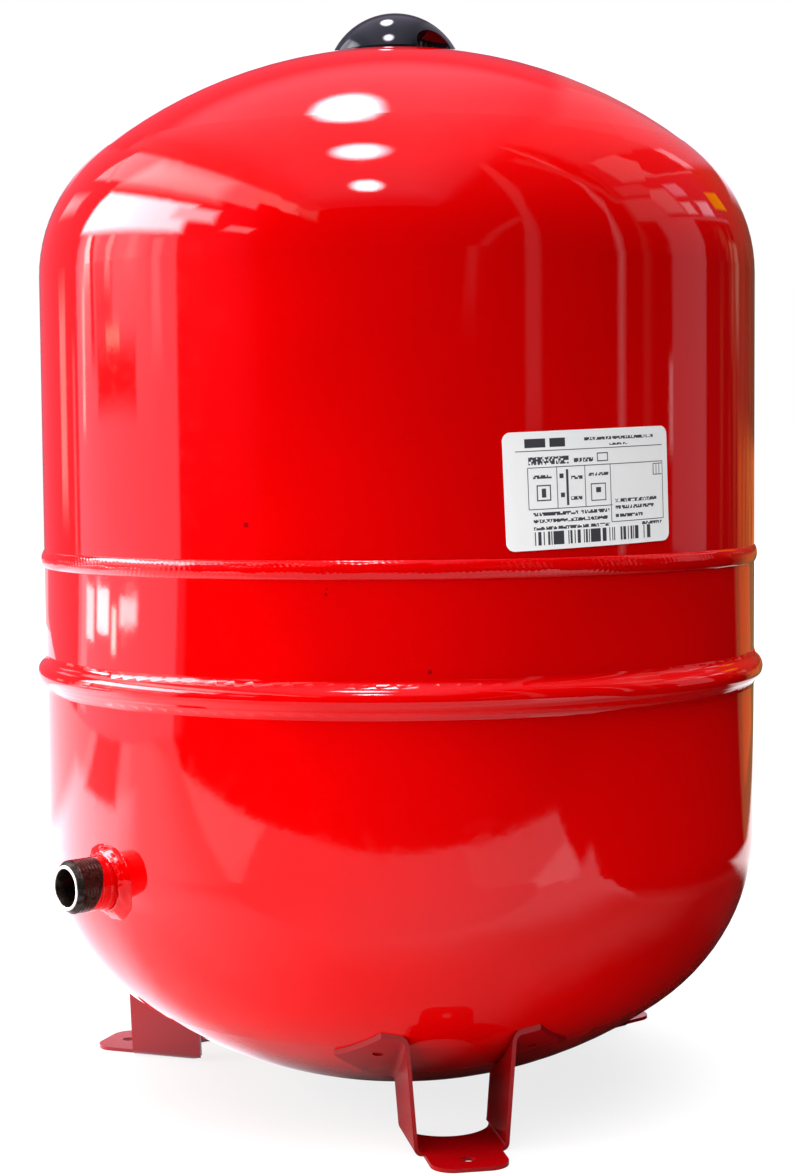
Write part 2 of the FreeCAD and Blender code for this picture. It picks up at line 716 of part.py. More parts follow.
valve_body = doc.addObject("PartDesign::Body", "valve_body")
HEX_RADIUS = "dims.hex_flats / sqrt(3)"
padded(valve_body, "hexagon", "XY_Plane", [
    ("%s * cos(%d)" % (HEX_RADIUS, angle), "%s * sin(%d)" % (HEX_RADIUS, angle))
    for angle in range(0, 360, 60)
], "dims.hex_tall", HEX_LOW)
for part_name, radius, low, high in (("shank", "dims.shank_radius", SHANK_END, HEX_LOW),
                                     ("stem", "dims.stem_radius", HEX_HIGH, STEM_TOP)):
    section = plane_sketch(valve_body, "XZ_Plane", part_name + "_outline")
    draw(section, [("0", low), (radius, low), (radius, high), ("0", high)])
    solid = valve_body.newObject("PartDesign::Revolution", part_name)
    solid.Profile = section
    solid.ReferenceAxis = (section, ["V_Axis"])
    solid.Angle = 360
    valve_body.Tip = solid
SEAT_LOW = "(%s + dims.seat_height)" % HEX_LOW
SEAT_HIGH = "(%s + dims.seat_tall)" % SEAT_LOW
grooved(valve_body, "valve_bore", [
    ("0", SHANK_END),
    ("dims.throat_bore", SHANK_END),
    ("dims.throat_bore", SEAT_LOW),
    ("dims.core_bore", SEAT_HIGH),
    ("dims.core_bore", STEM_TOP),
    ("0", STEM_TOP),
])

# Valve core: housing, tapered seal, spring, pin and its rubber seal

PLUG_TOP = "(%s - dims.plug_sink)" % STEM_TOP
PLUG_LOW = "(%s - dims.plug_tall)" % PLUG_TOP
BARREL_END = "(%s - dims.barrel_length)" % PLUG_TOP
COLLAR_TOP = "(%s - dims.collar_play)" % PLUG_LOW
COLLAR_LOW = "(%s - dims.collar_tall)" % COLLAR_TOP
PIN_BORE = "(dims.pin_radius + dims.pin_play)"
SEAL_TOP = "(%s - dims.poppet_play)" % BARREL_END
CUP_TOP = "(%s - dims.poppet_seal_tall)" % SEAL_TOP
PIN_END = "(%s - dims.poppet_tall)" % CUP_TOP

core_housing = turned("core_housing", [
    (PIN_BORE, BARREL_END),
    ("dims.barrel_radius", BARREL_END),
    ("dims.barrel_radius", PLUG_LOW),
    ("dims.core_bore - dims.thread_fit", PLUG_LOW),
    ("dims.core_bore - dims.thread_fit", PLUG_TOP),
    (PIN_BORE, PLUG_TOP),
    (PIN_BORE, PLUG_LOW),
    ("dims.barrel_bore", PLUG_LOW),
    ("dims.barrel_bore", "%s + dims.barrel_floor" % BARREL_END),
    (PIN_BORE, "%s + dims.barrel_floor" % BARREL_END),
])
slot_sketch = plane_sketch(core_housing, "XY_Plane", "slot_outline")
draw(slot_sketch, [
    ("-dims.core_bore", "-dims.plug_slot / 2"),
    ("dims.core_bore", "-dims.plug_slot / 2"),
    ("dims.core_bore", "dims.plug_slot / 2"),
    ("-dims.core_bore", "dims.plug_slot / 2"),
])
slot_sketch.setExpression("AttachmentOffset.Base.z", PLUG_TOP)
slot = core_housing.newObject("PartDesign::Pocket", "slot")
slot.Profile = slot_sketch
slot.setExpression("Length", "dims.plug_slot")
core_housing.Tip = slot

core_seal = turned("core_seal", [
    ("dims.barrel_radius", SEAT_LOW),
    ("dims.throat_bore", SEAT_LOW),
    ("dims.core_bore", SEAT_HIGH),
    ("dims.barrel_radius", SEAT_HIGH),
])
core_pin = turned("core_pin", [
    ("0", PIN_END),
    ("dims.poppet_radius", PIN_END),
    ("dims.poppet_radius", CUP_TOP),
    ("dims.pin_radius", CUP_TOP),
    ("dims.pin_radius", COLLAR_LOW),
    ("dims.collar_radius", COLLAR_LOW),
    ("dims.collar_radius", COLLAR_TOP),
    ("dims.pin_radius", COLLAR_TOP),
    ("dims.pin_radius", "%s + dims.pin_show" % PLUG_TOP),
    ("0", "%s + dims.pin_show" % PLUG_TOP),
])
poppet_seal = turned("poppet_seal", [
    ("dims.pin_radius", CUP_TOP),
    ("dims.poppet_radius", CUP_TOP),
    ("dims.poppet_radius", SEAL_TOP),
    ("dims.pin_radius", SEAL_TOP),
])

SPRING_LOW = "(%s + dims.barrel_floor + dims.spring_wire / 2)" % BARREL_END
SPRING_RISE = "(%s - dims.spring_wire / 2 - %s)" % (COLLAR_LOW, SPRING_LOW)
coil = primitive("Helix", "coil", Radius="dims.spring_radius", Height=SPRING_RISE,
                 Pitch="%s / dims.spring_turns" % SPRING_RISE)
placed(coil, V(0, 0, 1), "0", z=SPRING_LOW)
wire = primitive("Circle", "wire", Radius="dims.spring_wire / 2")
placed(wire, V(1, 0, 0), "90", x="dims.spring_radius", z=SPRING_LOW)
core_spring = doc.addObject("Part::Sweep", "core_spring")
core_spring.Sections = [wire]
core_spring.Spine = coil
core_spring.Solid = True
core_spring.Frenet = True

# Cap over the valve: a hollow dome with a sleeve over the boss, ribs and a finger recess

CAP_TOP = "(%s + dims.cap_stand)" % TOP_APEX
CAP_CENTRE = "(%s - dims.cap_sphere)" % CAP_TOP
CAP_FLOOR = "(dims.top_crown + dims.cap_clearance)"
CAP_LOW = "(%s + sqrt(%s^2 - dims.cap_radius^2))" % (TOP_CENTRE, CAP_FLOOR)
CAP_INSIDE = "(dims.cap_radius - dims.cap_wall)"
CEILING = "(dims.cap_sphere - dims.cap_wall)"
SLEEVE_IN = "(dims.boss_radius + dims.cap_clearance)"
SLEEVE_OUT = "(%s + dims.sleeve_wall)" % SLEEVE_IN
SLEEVE_LOW = "(%s + dims.boss_weld_leg + dims.cap_clearance)" % TOP_APEX


def sphere_height(sphere, radius):
    """Height over a radius of a sphere about the cap's centre."""
    return "%s + sqrt(%s^2 - %s^2)" % (CAP_CENTRE, sphere, radius)


def cap_solid(name):
    """The cap's outer form, solid, with a floor that follows the dome."""
    return turned(name, [
        ("0", "%s + %s" % (TOP_CENTRE, CAP_FLOOR)),
        ("dims.cap_radius", CAP_LOW, CAP_FLOOR, -1),
        ("dims.cap_radius", sphere_height("dims.cap_sphere", "dims.cap_radius")),
        ("0", CAP_TOP, "dims.cap_sphere", 1),
    ])


cap_form = cap_solid("cap_form")
cap_shell = cap_solid("cap_shell")
grooved(cap_shell, "cap_ring_space", [
    (SLEEVE_OUT, CAP_LOW),
    (CAP_INSIDE, CAP_LOW),
    (CAP_INSIDE, sphere_height(CEILING, CAP_INSIDE)),
    (SLEEVE_OUT, sphere_height(CEILING, SLEEVE_OUT), CEILING, 1),
])
grooved(cap_shell, "cap_sleeve_space", [
    ("0", CAP_LOW),
    (SLEEVE_OUT, CAP_LOW),
    (SLEEVE_OUT, SLEEVE_LOW),
    (SLEEVE_IN, SLEEVE_LOW),
    (SLEEVE_IN, sphere_height(CEILING, SLEEVE_IN)),
    ("0", "%s + %s" % (CAP_CENTRE, CEILING), CEILING, 1),
])

ribs = []
for index in range(int(value("dims.rib_count"))):
    rib = primitive("Box", "rib_%d" % (index + 1), Length="%s - %s" % (CAP_INSIDE, SLEEVE_IN),
                    Width="dims.rib_thick", Height="dims.cap_stand")
    rib.setExpression("Placement", (
        "create(<<placement>>; create(<<vector>>; {r} * cos({a}) + {w} * sin({a});"
        " {r} * sin({a}) - {w} * cos({a}); {z}); create(<<rotation>>; {a}; 0; 0))"
    ).format(r="(%s + dims.sleeve_wall / 2)" % SLEEVE_IN, w="dims.rib_thick / 2",
             a="((%d + 0.5) * 360 / dims.rib_count)" % index,
             z="(%s - dims.cap_stand + dims.rib_height)" % CAP_TOP))
    ribs.append(rib)
all_ribs = doc.addObject("Part::MultiFuse", "all_ribs")
all_ribs.Shapes = ribs


def grip_solid(name, extra):
    """The finger recess, grown by extra."""
    grip = primitive("Ellipsoid", name, Radius1="dims.grip_tall + " + extra,
                     Radius2="dims.grip_deep + " + extra, Radius3="dims.grip_wide + " + extra)
    return placed(grip, V(0, 0, 1), "0", x="dims.grip_reach",
                  z="%s + dims.grip_height" % CAP_LOW)


grip = grip_solid("grip", "0")
grip_wall = grip_solid("grip_wall", "dims.cap_wall")
cap_extras = doc.addObject("Part::MultiFuse", "cap_extras")
cap_extras.Shapes = [all_ribs, grip_wall]
cap_inside = combined("Common", "cap_inside", Base=cap_extras, Tool=cap_form)
cap_whole = combined("Fuse", "cap_whole", Base=cap_shell, Tool=cap_inside)
valve_cap = combined("Cut", "valve_cap", Base=cap_whole, Tool=grip)

# Check every object and write each sub-part

NODES = [
    upper_shell, lower_shell, girth_weld, diaphragm, clamp_ring, water_connection,
    connection_weld, foot_welds, rating_label, valve_boss, boss_weld, valve_gasket, valve_body,
    core_housing, core_seal, core_spring, core_pin, poppet_seal, valve_cap,
] + feet

doc.recompute()
for item in doc.Objects:
    if {"Invalid", "Error"} & set(item.State):
        raise RuntimeError("%s failed: %s" % (item.Name, item.State))
for node in NODES:
    if node.Shape.isNull() or not node.Shape.isValid() or not node.Shape.Solids:
        raise RuntimeError("%s has no valid solid" % node.Label)

os.makedirs("parts", exist_ok=True)
for node in NODES:
    node.Shape.exportStep("parts/%s.step" % node.Label)
    print("%-18s %d solid(s), %.0f mm3" % (node.Label, len(node.Shape.Solids), node.Shape.Volume))
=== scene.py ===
# %% [markdown]
# # A red expansion tank, dressed for its portrait
#
# The tank's solids come from a CAD model, already in the right place and at the right size. This
# lesson gives them their finish: glossy red paint with a slight orange peel, a printed label, a
# threaded pipe with bare steel at its mouth, hand-made weld beads and a black plastic cap. The
# frame is loaded first, because every later step reads its sizes from it.

# %% Load the frame
import math

import bmesh
import bpy
from mathutils import Matrix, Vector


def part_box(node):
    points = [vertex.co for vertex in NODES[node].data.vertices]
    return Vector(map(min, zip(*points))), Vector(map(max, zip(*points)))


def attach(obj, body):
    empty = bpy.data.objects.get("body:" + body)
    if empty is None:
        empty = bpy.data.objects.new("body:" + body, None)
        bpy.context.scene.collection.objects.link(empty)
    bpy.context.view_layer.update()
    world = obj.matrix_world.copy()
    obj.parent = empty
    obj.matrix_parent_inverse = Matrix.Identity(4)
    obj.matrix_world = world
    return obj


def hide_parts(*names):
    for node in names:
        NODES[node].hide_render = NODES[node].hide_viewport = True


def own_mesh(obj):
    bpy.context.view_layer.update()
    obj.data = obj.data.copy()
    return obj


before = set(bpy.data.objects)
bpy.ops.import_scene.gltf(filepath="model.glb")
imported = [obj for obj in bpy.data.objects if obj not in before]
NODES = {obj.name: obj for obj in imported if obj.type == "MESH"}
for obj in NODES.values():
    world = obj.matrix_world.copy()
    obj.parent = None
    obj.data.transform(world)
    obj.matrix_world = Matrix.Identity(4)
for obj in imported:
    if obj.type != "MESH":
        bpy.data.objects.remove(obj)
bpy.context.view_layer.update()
MM = 0.001

# %% [markdown]
# ## Node helpers
#
# Every material, and every Geometry Nodes tree, is a small graph of nodes. Building a graph in code
# is easier to read with one helper that adds a node, sets its options and fills its inputs, where
# an input may be a number, a colour or the output of another node.

# %% Node helpers
FLOAT, VECTOR = "NodeSocketFloat", "NodeSocketVector"


def plug(tree, node, name, item):
    """Fill one input with a value or with another node's output."""
    socket = node.inputs[name]
    if isinstance(item, bpy.types.NodeSocket):
        tree.links.new(item, socket)
    elif isinstance(item, bpy.types.Node):
        tree.links.new(item.outputs[0], socket)
    else:
        socket.default_value = item


def add(tree, kind, options=None, **inputs):
    """Add a node; an input is named by its socket with underscores, or i and its number."""
    node = tree.nodes.new(kind)
    for key, item in (options or {}).items():
        setattr(node, key, item)
    for key, item in inputs.items():
        by_number = key[0] == "i" and key[1:].isdigit()
        plug(tree, node, int(key[1:]) if by_number else key.replace("_", " "), item)
    return node


def calc(tree, operation, first, second=0.0, third=0.0):
    """A Math node; returns its output."""
    return add(tree, "ShaderNodeMath", {"operation": operation},
               i0=first, i1=second, i2=third).outputs[0]


def total(tree, operation, *items):
    """Chain a Math operation over several items."""
    result = items[0]
    for item in items[1:]:
        result = calc(tree, operation, result, item)
    return result


def ramp(tree, value, low, high, start=0.0, end=1.0):
    """A smooth step from start to end while value goes from low to high."""
    return add(tree, "ShaderNodeMapRange", {"interpolation_type": "SMOOTHSTEP"},
               Value=value, From_Min=low, From_Max=high, To_Min=start, To_Max=end).outputs[0]


def blend(tree, factor, first, second):
    """Mix two colours; returns the colour output."""
    return add(tree, "ShaderNodeMix", {"data_type": "RGBA"},
               i0=factor, i6=first, i7=second).outputs[2]


def new_group(name, inputs, outputs, kind="ShaderNodeTree"):
    """An empty node group with named sockets; returns the tree and its two ends."""
    tree = bpy.data.node_groups.new(name, kind)
    for direction, sockets in (("INPUT", inputs), ("OUTPUT", outputs)):
        for label, socket_type, default in sockets:
            socket = tree.interface.new_socket(label, in_out=direction, socket_type=socket_type)
            if default is not None:
                socket.default_value = default
    return tree, tree.nodes.new("NodeGroupInput"), tree.nodes.new("NodeGroupOutput")


def use_group(tree, group, **inputs):
    """Place a shader node group in a tree; returns its first output."""
    node = tree.nodes.new("ShaderNodeGroup")
    node.node_tree = group
    for key, item in inputs.items():
        plug(tree, node, key.replace("_", " "), item)
    return node.outputs[0]


# %% [markdown]
# ## A soft box as a mask
#
# Windows, door posts, lamps, the patches of the floor and the print on the label are all soft-edged
# rectangles, laid out in two coordinates. One node group makes such a mask, so each of them is one
# row of a table. It works on vectors, both coordinates at once, which keeps it quick to render: how
# far a place is from the middle, less half the box's size, is how far it lies beyond the edge.

# %% The soft box group
soft_box, ends_in, ends_out = new_group(
    "soft_box",
    [("Place", VECTOR, None), ("Centre", VECTOR, None), ("Half", VECTOR, None),
     ("Softness", FLOAT, 0.1)],
    [("Mask", FLOAT, None)])


def vector(tree, operation, first, second=(0.0, 0.0, 0.0), third=(0.0, 0.0, 0.0), output=0):
    """A Vector Math node; returns one of its outputs."""
    return add(tree, "ShaderNodeVectorMath", {"operation": operation},
               i0=first, i1=second, i2=third).outputs[output]


def parts(tree, item):
    """The three coordinates of a vector."""
    return add(tree, "ShaderNodeSeparateXYZ", Vector=item).outputs


def joined(tree, x, y, z=0.0):
    """A vector from three coordinates."""
    return add(tree, "ShaderNodeCombineXYZ", X=x, Y=y, Z=z).outputs[0]


NOWHERE = 10000.0  # a place or a size so far out that nothing reaches it
offset = vector(soft_box, "SUBTRACT", ends_in.outputs["Place"], ends_in.outputs["Centre"])
beyond = parts(soft_box, vector(soft_box, "SUBTRACT", vector(soft_box, "ABSOLUTE", offset),
                                ends_in.outputs["Half"]))
soft_box.links.new(ramp(soft_box, calc(soft_box, "MAXIMUM", beyond[0], beyond[1]),
                        ends_in.outputs["Softness"], 0.0), ends_out.inputs["Mask"])


def box_mask(tree, place, left, right, bottom, top, softness, slant=0.0):
    """Mask of one soft box in the first two coordinates of a place; slant leans its sides."""
    if slant:
        x, y, _z = parts(tree, place)
        place = joined(tree, calc(tree, "MULTIPLY_ADD", y, -slant, x), y)
    inset = softness / 2
    return use_group(tree, soft_box, Place=place, Softness=softness,
                     Centre=((left + right) / 2, (bottom + top) / 2, 0.0),
                     Half=((right - left) / 2 - inset, (top - bottom) / 2 - inset, 0.0))


def oval_mask(tree, place, x, y, half_x, half_y, softness):
    """Mask of one soft oval; softness is a share of its size."""
    scaled = vector(tree, "DIVIDE", vector(tree, "SUBTRACT", place, (x, y, 0.0)),
                    (half_x, half_y, NOWHERE))
    return ramp(tree, vector(tree, "LENGTH", scaled, output=1), 1.0 + softness, 1.0 - softness)


# %% [markdown]
# ## Camera
#
# The photograph was taken with a phone or compact camera from just over a metre, a little above
# the middle of the tank, and almost level. The distance matters more than the lens: it sets how
# strongly the bead and the seam curve. The vertical scale of the picture then fixes the focal
# length. The camera is turned about the tank's axis so that one foot faces it and the water
# connection looks out to the left.

# %% Camera
CAMERA_AZIMUTH = math.radians(49.6)
CAMERA_DISTANCE = 1.1781
CAMERA_HEIGHT = 0.3320
CAMERA_PITCH = math.radians(3.834)
CAMERA_ROLL = math.radians(0.4917)
PICTURE = (795, 1174)
FOCAL_PIXELS = 2173.0
PRINCIPAL_POINT = (399.74, 609.1)

camera_data = bpy.data.cameras.new("portrait")
camera = bpy.data.objects.new("portrait", camera_data)
bpy.context.scene.collection.objects.link(camera)
camera_data.sensor_width = 36.0
camera_data.lens = FOCAL_PIXELS / PICTURE[1] * camera_data.sensor_width
camera_data.shift_x = (PICTURE[0] / 2 - PRINCIPAL_POINT[0]) / PICTURE[1]
camera_data.shift_y = (PRINCIPAL_POINT[1] - PICTURE[1] / 2) / PICTURE[1]
camera_data.clip_start = 0.05
camera.matrix_world = (
    Matrix.Translation((CAMERA_DISTANCE * math.sin(CAMERA_AZIMUTH),
                        -CAMERA_DISTANCE * math.cos(CAMERA_AZIMUTH), CAMERA_HEIGHT))
    @ Matrix.Rotation(CAMERA_AZIMUTH, 4, "Z")
    @ Matrix.Rotation(math.pi / 2 - CAMERA_PITCH, 4, "X")
    @ Matrix.Rotation(-CAMERA_ROLL, 4, "Z"))
bpy.context.scene.camera = camera
bpy.context.scene.view_settings.view_transform = "Standard"
print("lens %.1f mm" % camera_data.lens)

# %% [markdown]
# ## The room that the paint reflects
#
# Gloss paint shows its surroundings, so most of the portrait's character is painted here. The real
# tank stood in a room: a wide window to the left with a bright ledge over it, a pale ceiling with
# three lamps in a row, door posts and a pale door to the right, and darkness behind the camera.
# A straight edge in a room looks curved in a map of angles, but stays straight when each direction
# is followed to a flat wall. So the world shader works out where a direction meets the left wall,
# the right wall, the front wall and the ceiling, each a unit away, and paints soft boxes there.
# Everything is turned with the camera. The camera itself sees plain white behind the tank.

# %% The world
LEFT_WALL = [
    # left, right, bottom, top, softness, slant, radiance; across runs towards the camera
    (-9.0, 0.30, -0.4, 9.0, 0.30, 0.0, (0.20, 0.18, 0.25)),
    (0.20, 0.95, 0.04, 9.0, 0.50, 0.0, (0.06, 0.06, 0.14)),
    (-9.0, 1.00, 1.20, 9.0, 0.30, 0.0, (0.24, 0.21, 0.30)),
    (-1.18, 0.92, 0.78, 1.23, 0.06, 0.0, (2.0, 1.9, 2.1)),
    (0.80, 1.60, 0.92, 1.25, 0.06, 0.0, (1.9, 1.9, 1.8)),
    (1.50, 2.10, 0.97, 1.28, 0.20, 0.0, (0.8, 0.8, 0.7)),
    (-0.52, 0.45, 0.78, 1.10, 0.28, 0.0, (5.0, 5.0, 5.2)),
    (-1.45, -0.98, 0.49, 0.62, 0.12, 0.0, (1.6, 1.6, 1.7)),
    (0.10, 0.16, 0.76, 1.02, 0.04, -1.25, (1.5, 1.5, 1.5)),
    (-0.95, -0.80, -0.02, 0.10, 0.05, 0.0, (1.3, 1.3, 1.2)),
    (-0.57, 0.34, -0.20, 0.40, 0.03, 0.0, (1.25, 1.15, 1.45)),
    (-0.16, 0.10, 0.08, 0.40, 0.16, 0.0, (2.1, 2.0, 2.3)),
    (-0.52, -0.33, 0.06, 0.32, 0.05, 0.0, (1.9, 1.8, 2.0)),
    (-0.44, -0.36, 0.10, 0.30, 0.04, -0.10, (7.5, 7.5, 7.5)),
    (-0.50, -0.47, 0.02, 0.09, 0.02, 0.20, (5.0, 4.6, 4.2)),
    (-0.32, -0.16, 0.055, 0.090, 0.06, 0.0, (0.5, 0.4, 0.5)),
    (-0.36, -0.32, 0.05, 0.33, 0.025, -0.22, (0.25, 0.2, 0.3)),
    (-0.22, -0.18, 0.09, 0.30, 0.03, 0.0, (3.8, 3.8, 3.8)),
    (-0.04, 0.03, 0.10, 0.30, 0.05, 0.0, (2.8, 2.8, 3.0)),
    (0.16, 0.22, 0.06, 0.26, 0.05, 0.0, (2.5, 2.4, 2.7)),
    (-0.31, 0.03, 0.026, 0.056, 0.02, 0.0, (0.18, 0.12, 0.16)),
    (-0.22, -0.10, 0.056, 0.063, 0.006, 0.0, (4.0, 3.5, 2.6)),
    (-0.66, -0.62, -0.20, 0.06, 0.03, 0.0, (0.9, 0.8, 0.9)),
    (-0.46, 0.30, 0.290, 0.345, 0.03, 0.0, (3.5, 3.3, 3.8)),
    (-0.58, 0.34, 0.33, 0.64, 0.09, 0.0, (16.0, 15.5, 17.0)),
    (0.22, 0.56, 0.46, 0.61, 0.10, 0.0, (9.0, 8.5, 9.5)),
    (0.33, 0.60, 0.38, 0.46, 0.05, 0.9, (3.0, 2.8, 3.0)),
]
RIGHT_WALL = [
    # the same; across runs away from the camera
    (-0.10, 9.0, 0.36, 9.0, 0.08, 0.0, (0.10, 0.09, 0.11)),
    (-0.04, 9.0, 1.20, 9.0, 0.20, 0.0, (0.26, 0.24, 0.28)),
    (1.00, 9.0, -0.10, 0.95, 0.20, 0.0, (0.08, 0.08, 0.05)),
    (1.30, 9.0, -0.30, 0.22, 0.10, 0.0, (0.07, 0.06, 0.03)),
    (1.15, 4.0, 0.88, 9.0, 0.15, 0.0, (0.36, 0.32, 0.38)),
    (1.02, 1.32, 0.86, 1.14, 0.08, 0.0, (1.3, 1.2, 1.3)),
    (-1.22, -1.03, 0.02, 9.0, 0.08, 0.0, (0.36, 0.33, 0.34)),
    (-2.40, -1.75, 0.22, 0.36, 0.12, 0.0, (0.06, 0.05, 0.05)),
    (-2.75, -2.50, 0.44, 0.66, 0.12, 2.0, (0.12, 0.10, 0.10)),
    (-0.342, -0.280, -0.16, 9.0, 0.02, 0.0, (0.50, 0.42, 0.44)),
    (-0.325, -0.300, -0.16, 9.0, 0.02, 0.0, (1.0, 0.9, 0.9)),
    (-0.15, -0.12, 0.00, 1.10, 0.03, 0.0, (0.22, 0.12, 0.09)),
    (0.05, 0.45, 0.80, 1.20, 0.05, 0.0, (0.70, 0.66, 0.66)),
    (0.45, 1.10, 0.83, 1.18, 0.05, 0.0, (0.05, 0.05, 0.06)),
    (-0.12, 0.16, 0.39, 0.60, 0.05, 0.0, (0.50, 0.45, 0.45)),
    (-0.08, 0.14, 0.64, 0.76, 0.05, 0.0, (0.36, 0.33, 0.34)),
    (0.17, 0.35, 0.43, 0.66, 0.05, 0.0, (0.80, 0.75, 0.75)),
    (0.37, 0.50, 0.42, 0.52, 0.03, 0.0, (1.6, 1.5, 1.6)),
    (0.38, 0.54, 0.58, 0.70, 0.04, 0.0, (1.0, 1.0, 1.3)),
    (0.58, 0.77, 0.41, 0.52, 0.04, 0.0, (1.5, 1.45, 1.7)),
    (0.88, 1.20, 0.47, 0.60, 0.03, 0.0, (0.95, 0.85, 0.01)),
    (-0.12, 1.05, 0.375, 0.395, 0.02, 0.0, (0.40, 0.36, 0.36)),
    (0.10, 1.12, 0.795, 0.820, 0.02, 0.0, (0.45, 0.42, 0.42)),
    (0.075, 0.41, -0.30, 0.385, 0.03, 0.0, (0.52, 0.40, 0.44)),
    (0.058, 0.080, 0.005, 0.045, 0.012, 0.0, (1.8, 1.7, 1.8)),
    (0.44, 1.02, -0.05, 0.37, 0.05, 0.0, (0.01, 0.008, 0.01)),
    (0.86, 1.08, 0.08, 0.24, 0.06, 0.0, (0.45, 0.44, 0.30)),
    (1.06, 9.0, -0.60, 0.02, 0.06, 0.0, (0.80, 0.24, 0.05)),
]
FRONT_WALL = [
    # the same; across runs to the right
    (0.30, 0.36, 0.08, 0.56, 0.05, 0.85, (0.22, 0.21, 0.21)),
    (-0.50, -0.10, -0.09, -0.07, 0.02, 0.0, (0.30, 0.28, 0.26)),
]
CEILING = [
    # left, right, near, far, softness, slant, radiance
    (-0.85, 0.39, -1.58, 9.0, 0.08, 0.0, (0.16, 0.12, 0.17)),
    (-0.66, 0.28, -1.20, 1.15, 0.50, 0.0, (0.56, 0.48, 0.62)),
    (-0.84, -0.70, -1.60, 1.4, 0.10, 0.0, (0.30, 0.28, 0.34)),
    (0.50, 1.75, -0.32, -0.24, 0.05, 0.0, (0.22, 0.20, 0.20)),
    (-0.9, 1.3, 3.9, 8.4, 1.2, 0.0, (2.2, 2.0, 2.3)),
]
LAMPS = [
    # across, away, half widths, softness, radiance
    (-0.12, 0.42, 0.080, 0.17, 0.45, (24.0, 23.0, 26.0)),
    (-0.14, -0.30, 0.100, 0.11, 0.50, (30.0, 29.0, 33.0)),
    (-0.18, -0.95, 0.095, 0.12, 0.50, (34.0, 33.0, 36.0)),
]
DARK_ROOM = (0.004, 0.003, 0.004, 1.0)
# a mottled, olive stretch of the right wall: left, right, bottom, top, softness, and its colour
STREAKED = (0.62, 4.0, -0.10, 0.34, 0.06)
STREAK_COLOUR = (0.12, 0.11, 0.055, 1.0)
STREAK_SCALE = (9.0, 3.0, 0.0)

world = bpy.data.worlds.new("room")
bpy.context.scene.world = world
world.use_nodes = True
sky = world.node_tree
sky.nodes.clear()
direction = add(sky, "ShaderNodeTexCoord").outputs["Generated"]
right, away, up = parts(sky, add(sky, "ShaderNodeVectorRotate", {"rotation_type": "Z_AXIS"},
                                 Vector=direction, Angle=-CAMERA_AZIMUTH))


def wall_place(across, height, distance, behind_it):
    """Where a direction meets a wall; a direction that misses the wall lands far outside it."""
    depth = calc(sky, "ABSOLUTE", distance)
    missed = calc(sky, "MULTIPLY", behind_it, NOWHERE)
    return joined(sky, calc(sky, "DIVIDE", across, depth),
                  calc(sky, "ADD", calc(sky, "DIVIDE", height, depth), missed))


left_place = wall_place(calc(sky, "MULTIPLY", away, -1.0), up, right,
                        calc(sky, "GREATER_THAN", right, 0.0))
right_place = wall_place(away, up, right, calc(sky, "LESS_THAN", right, 0.0))
front_place = wall_place(right, up, away, calc(sky, "GREATER_THAN", away, 0.0))
ceiling_place = wall_place(right, away, up, calc(sky, "LESS_THAN", up, 0.0))

room = DARK_ROOM
for place, boxes in ((left_place, LEFT_WALL), (right_place, RIGHT_WALL),
                     (front_place, FRONT_WALL), (ceiling_place, CEILING)):
    for *box, radiance in boxes:
        room = blend(sky, box_mask(sky, place, *box), room, (*radiance, 1.0))
mottle = add(sky, "ShaderNodeTexNoise", Scale=1.0, Detail=3.0,
             Vector=vector(sky, "MULTIPLY", right_place, STREAK_SCALE))
streaks = calc(sky, "MULTIPLY", ramp(sky, mottle, 0.46, 0.62),
               box_mask(sky, right_place, *STREAKED))
room = blend(sky, streaks, room, STREAK_COLOUR)
for *oval, radiance in LAMPS:
    room = blend(sky, oval_mask(sky, ceiling_place, *oval), room, (*radiance, 1.0))
print("soft boxes in the room:", len(LEFT_WALL + RIGHT_WALL + FRONT_WALL + CEILING))

# %% [markdown]
# ## Soft studio light
#
# The sharp room above is only for reflections. What lights the paint itself is plain and soft: a
# broad ceiling, a wide window on the left, and little from the front and the right. A Light Path
# node hands the room to glossy rays and the soft light to all others, which also renders much
# faster, because the long table is left out wherever nobody could see it.

# %% The studio light
CEILING_GLOW, WINDOW_GLOW, AMBIENT = 6.3, 12.0, 0.03
overhead = ramp(sky, up, 0.55, 0.95)
window = calc(sky, "MULTIPLY", ramp(sky, right, -0.68, -0.98), ramp(sky, up, -0.05, 0.15))
glow = total(sky, "ADD", calc(sky, "MULTIPLY", overhead, CEILING_GLOW),
             calc(sky, "MULTIPLY", window, WINDOW_GLOW), AMBIENT)
seen = add(sky, "ShaderNodeLightPath").outputs
soft_light = add(sky, "ShaderNodeBackground", Color=(1.0, 1.0, 1.0, 1.0), Strength=glow)
plain_white = add(sky, "ShaderNodeBackground", Color=(1.0, 1.0, 1.0, 1.0))
backdrop = add(sky, "ShaderNodeMixShader", Fac=seen["Is Camera Ray"], i1=soft_light,
               i2=plain_white)
add(sky, "ShaderNodeOutputWorld", Surface=add(
    sky, "ShaderNodeMixShader", Fac=seen["Is Glossy Ray"], i1=backdrop,
    i2=add(sky, "ShaderNodeBackground", Color=room)))
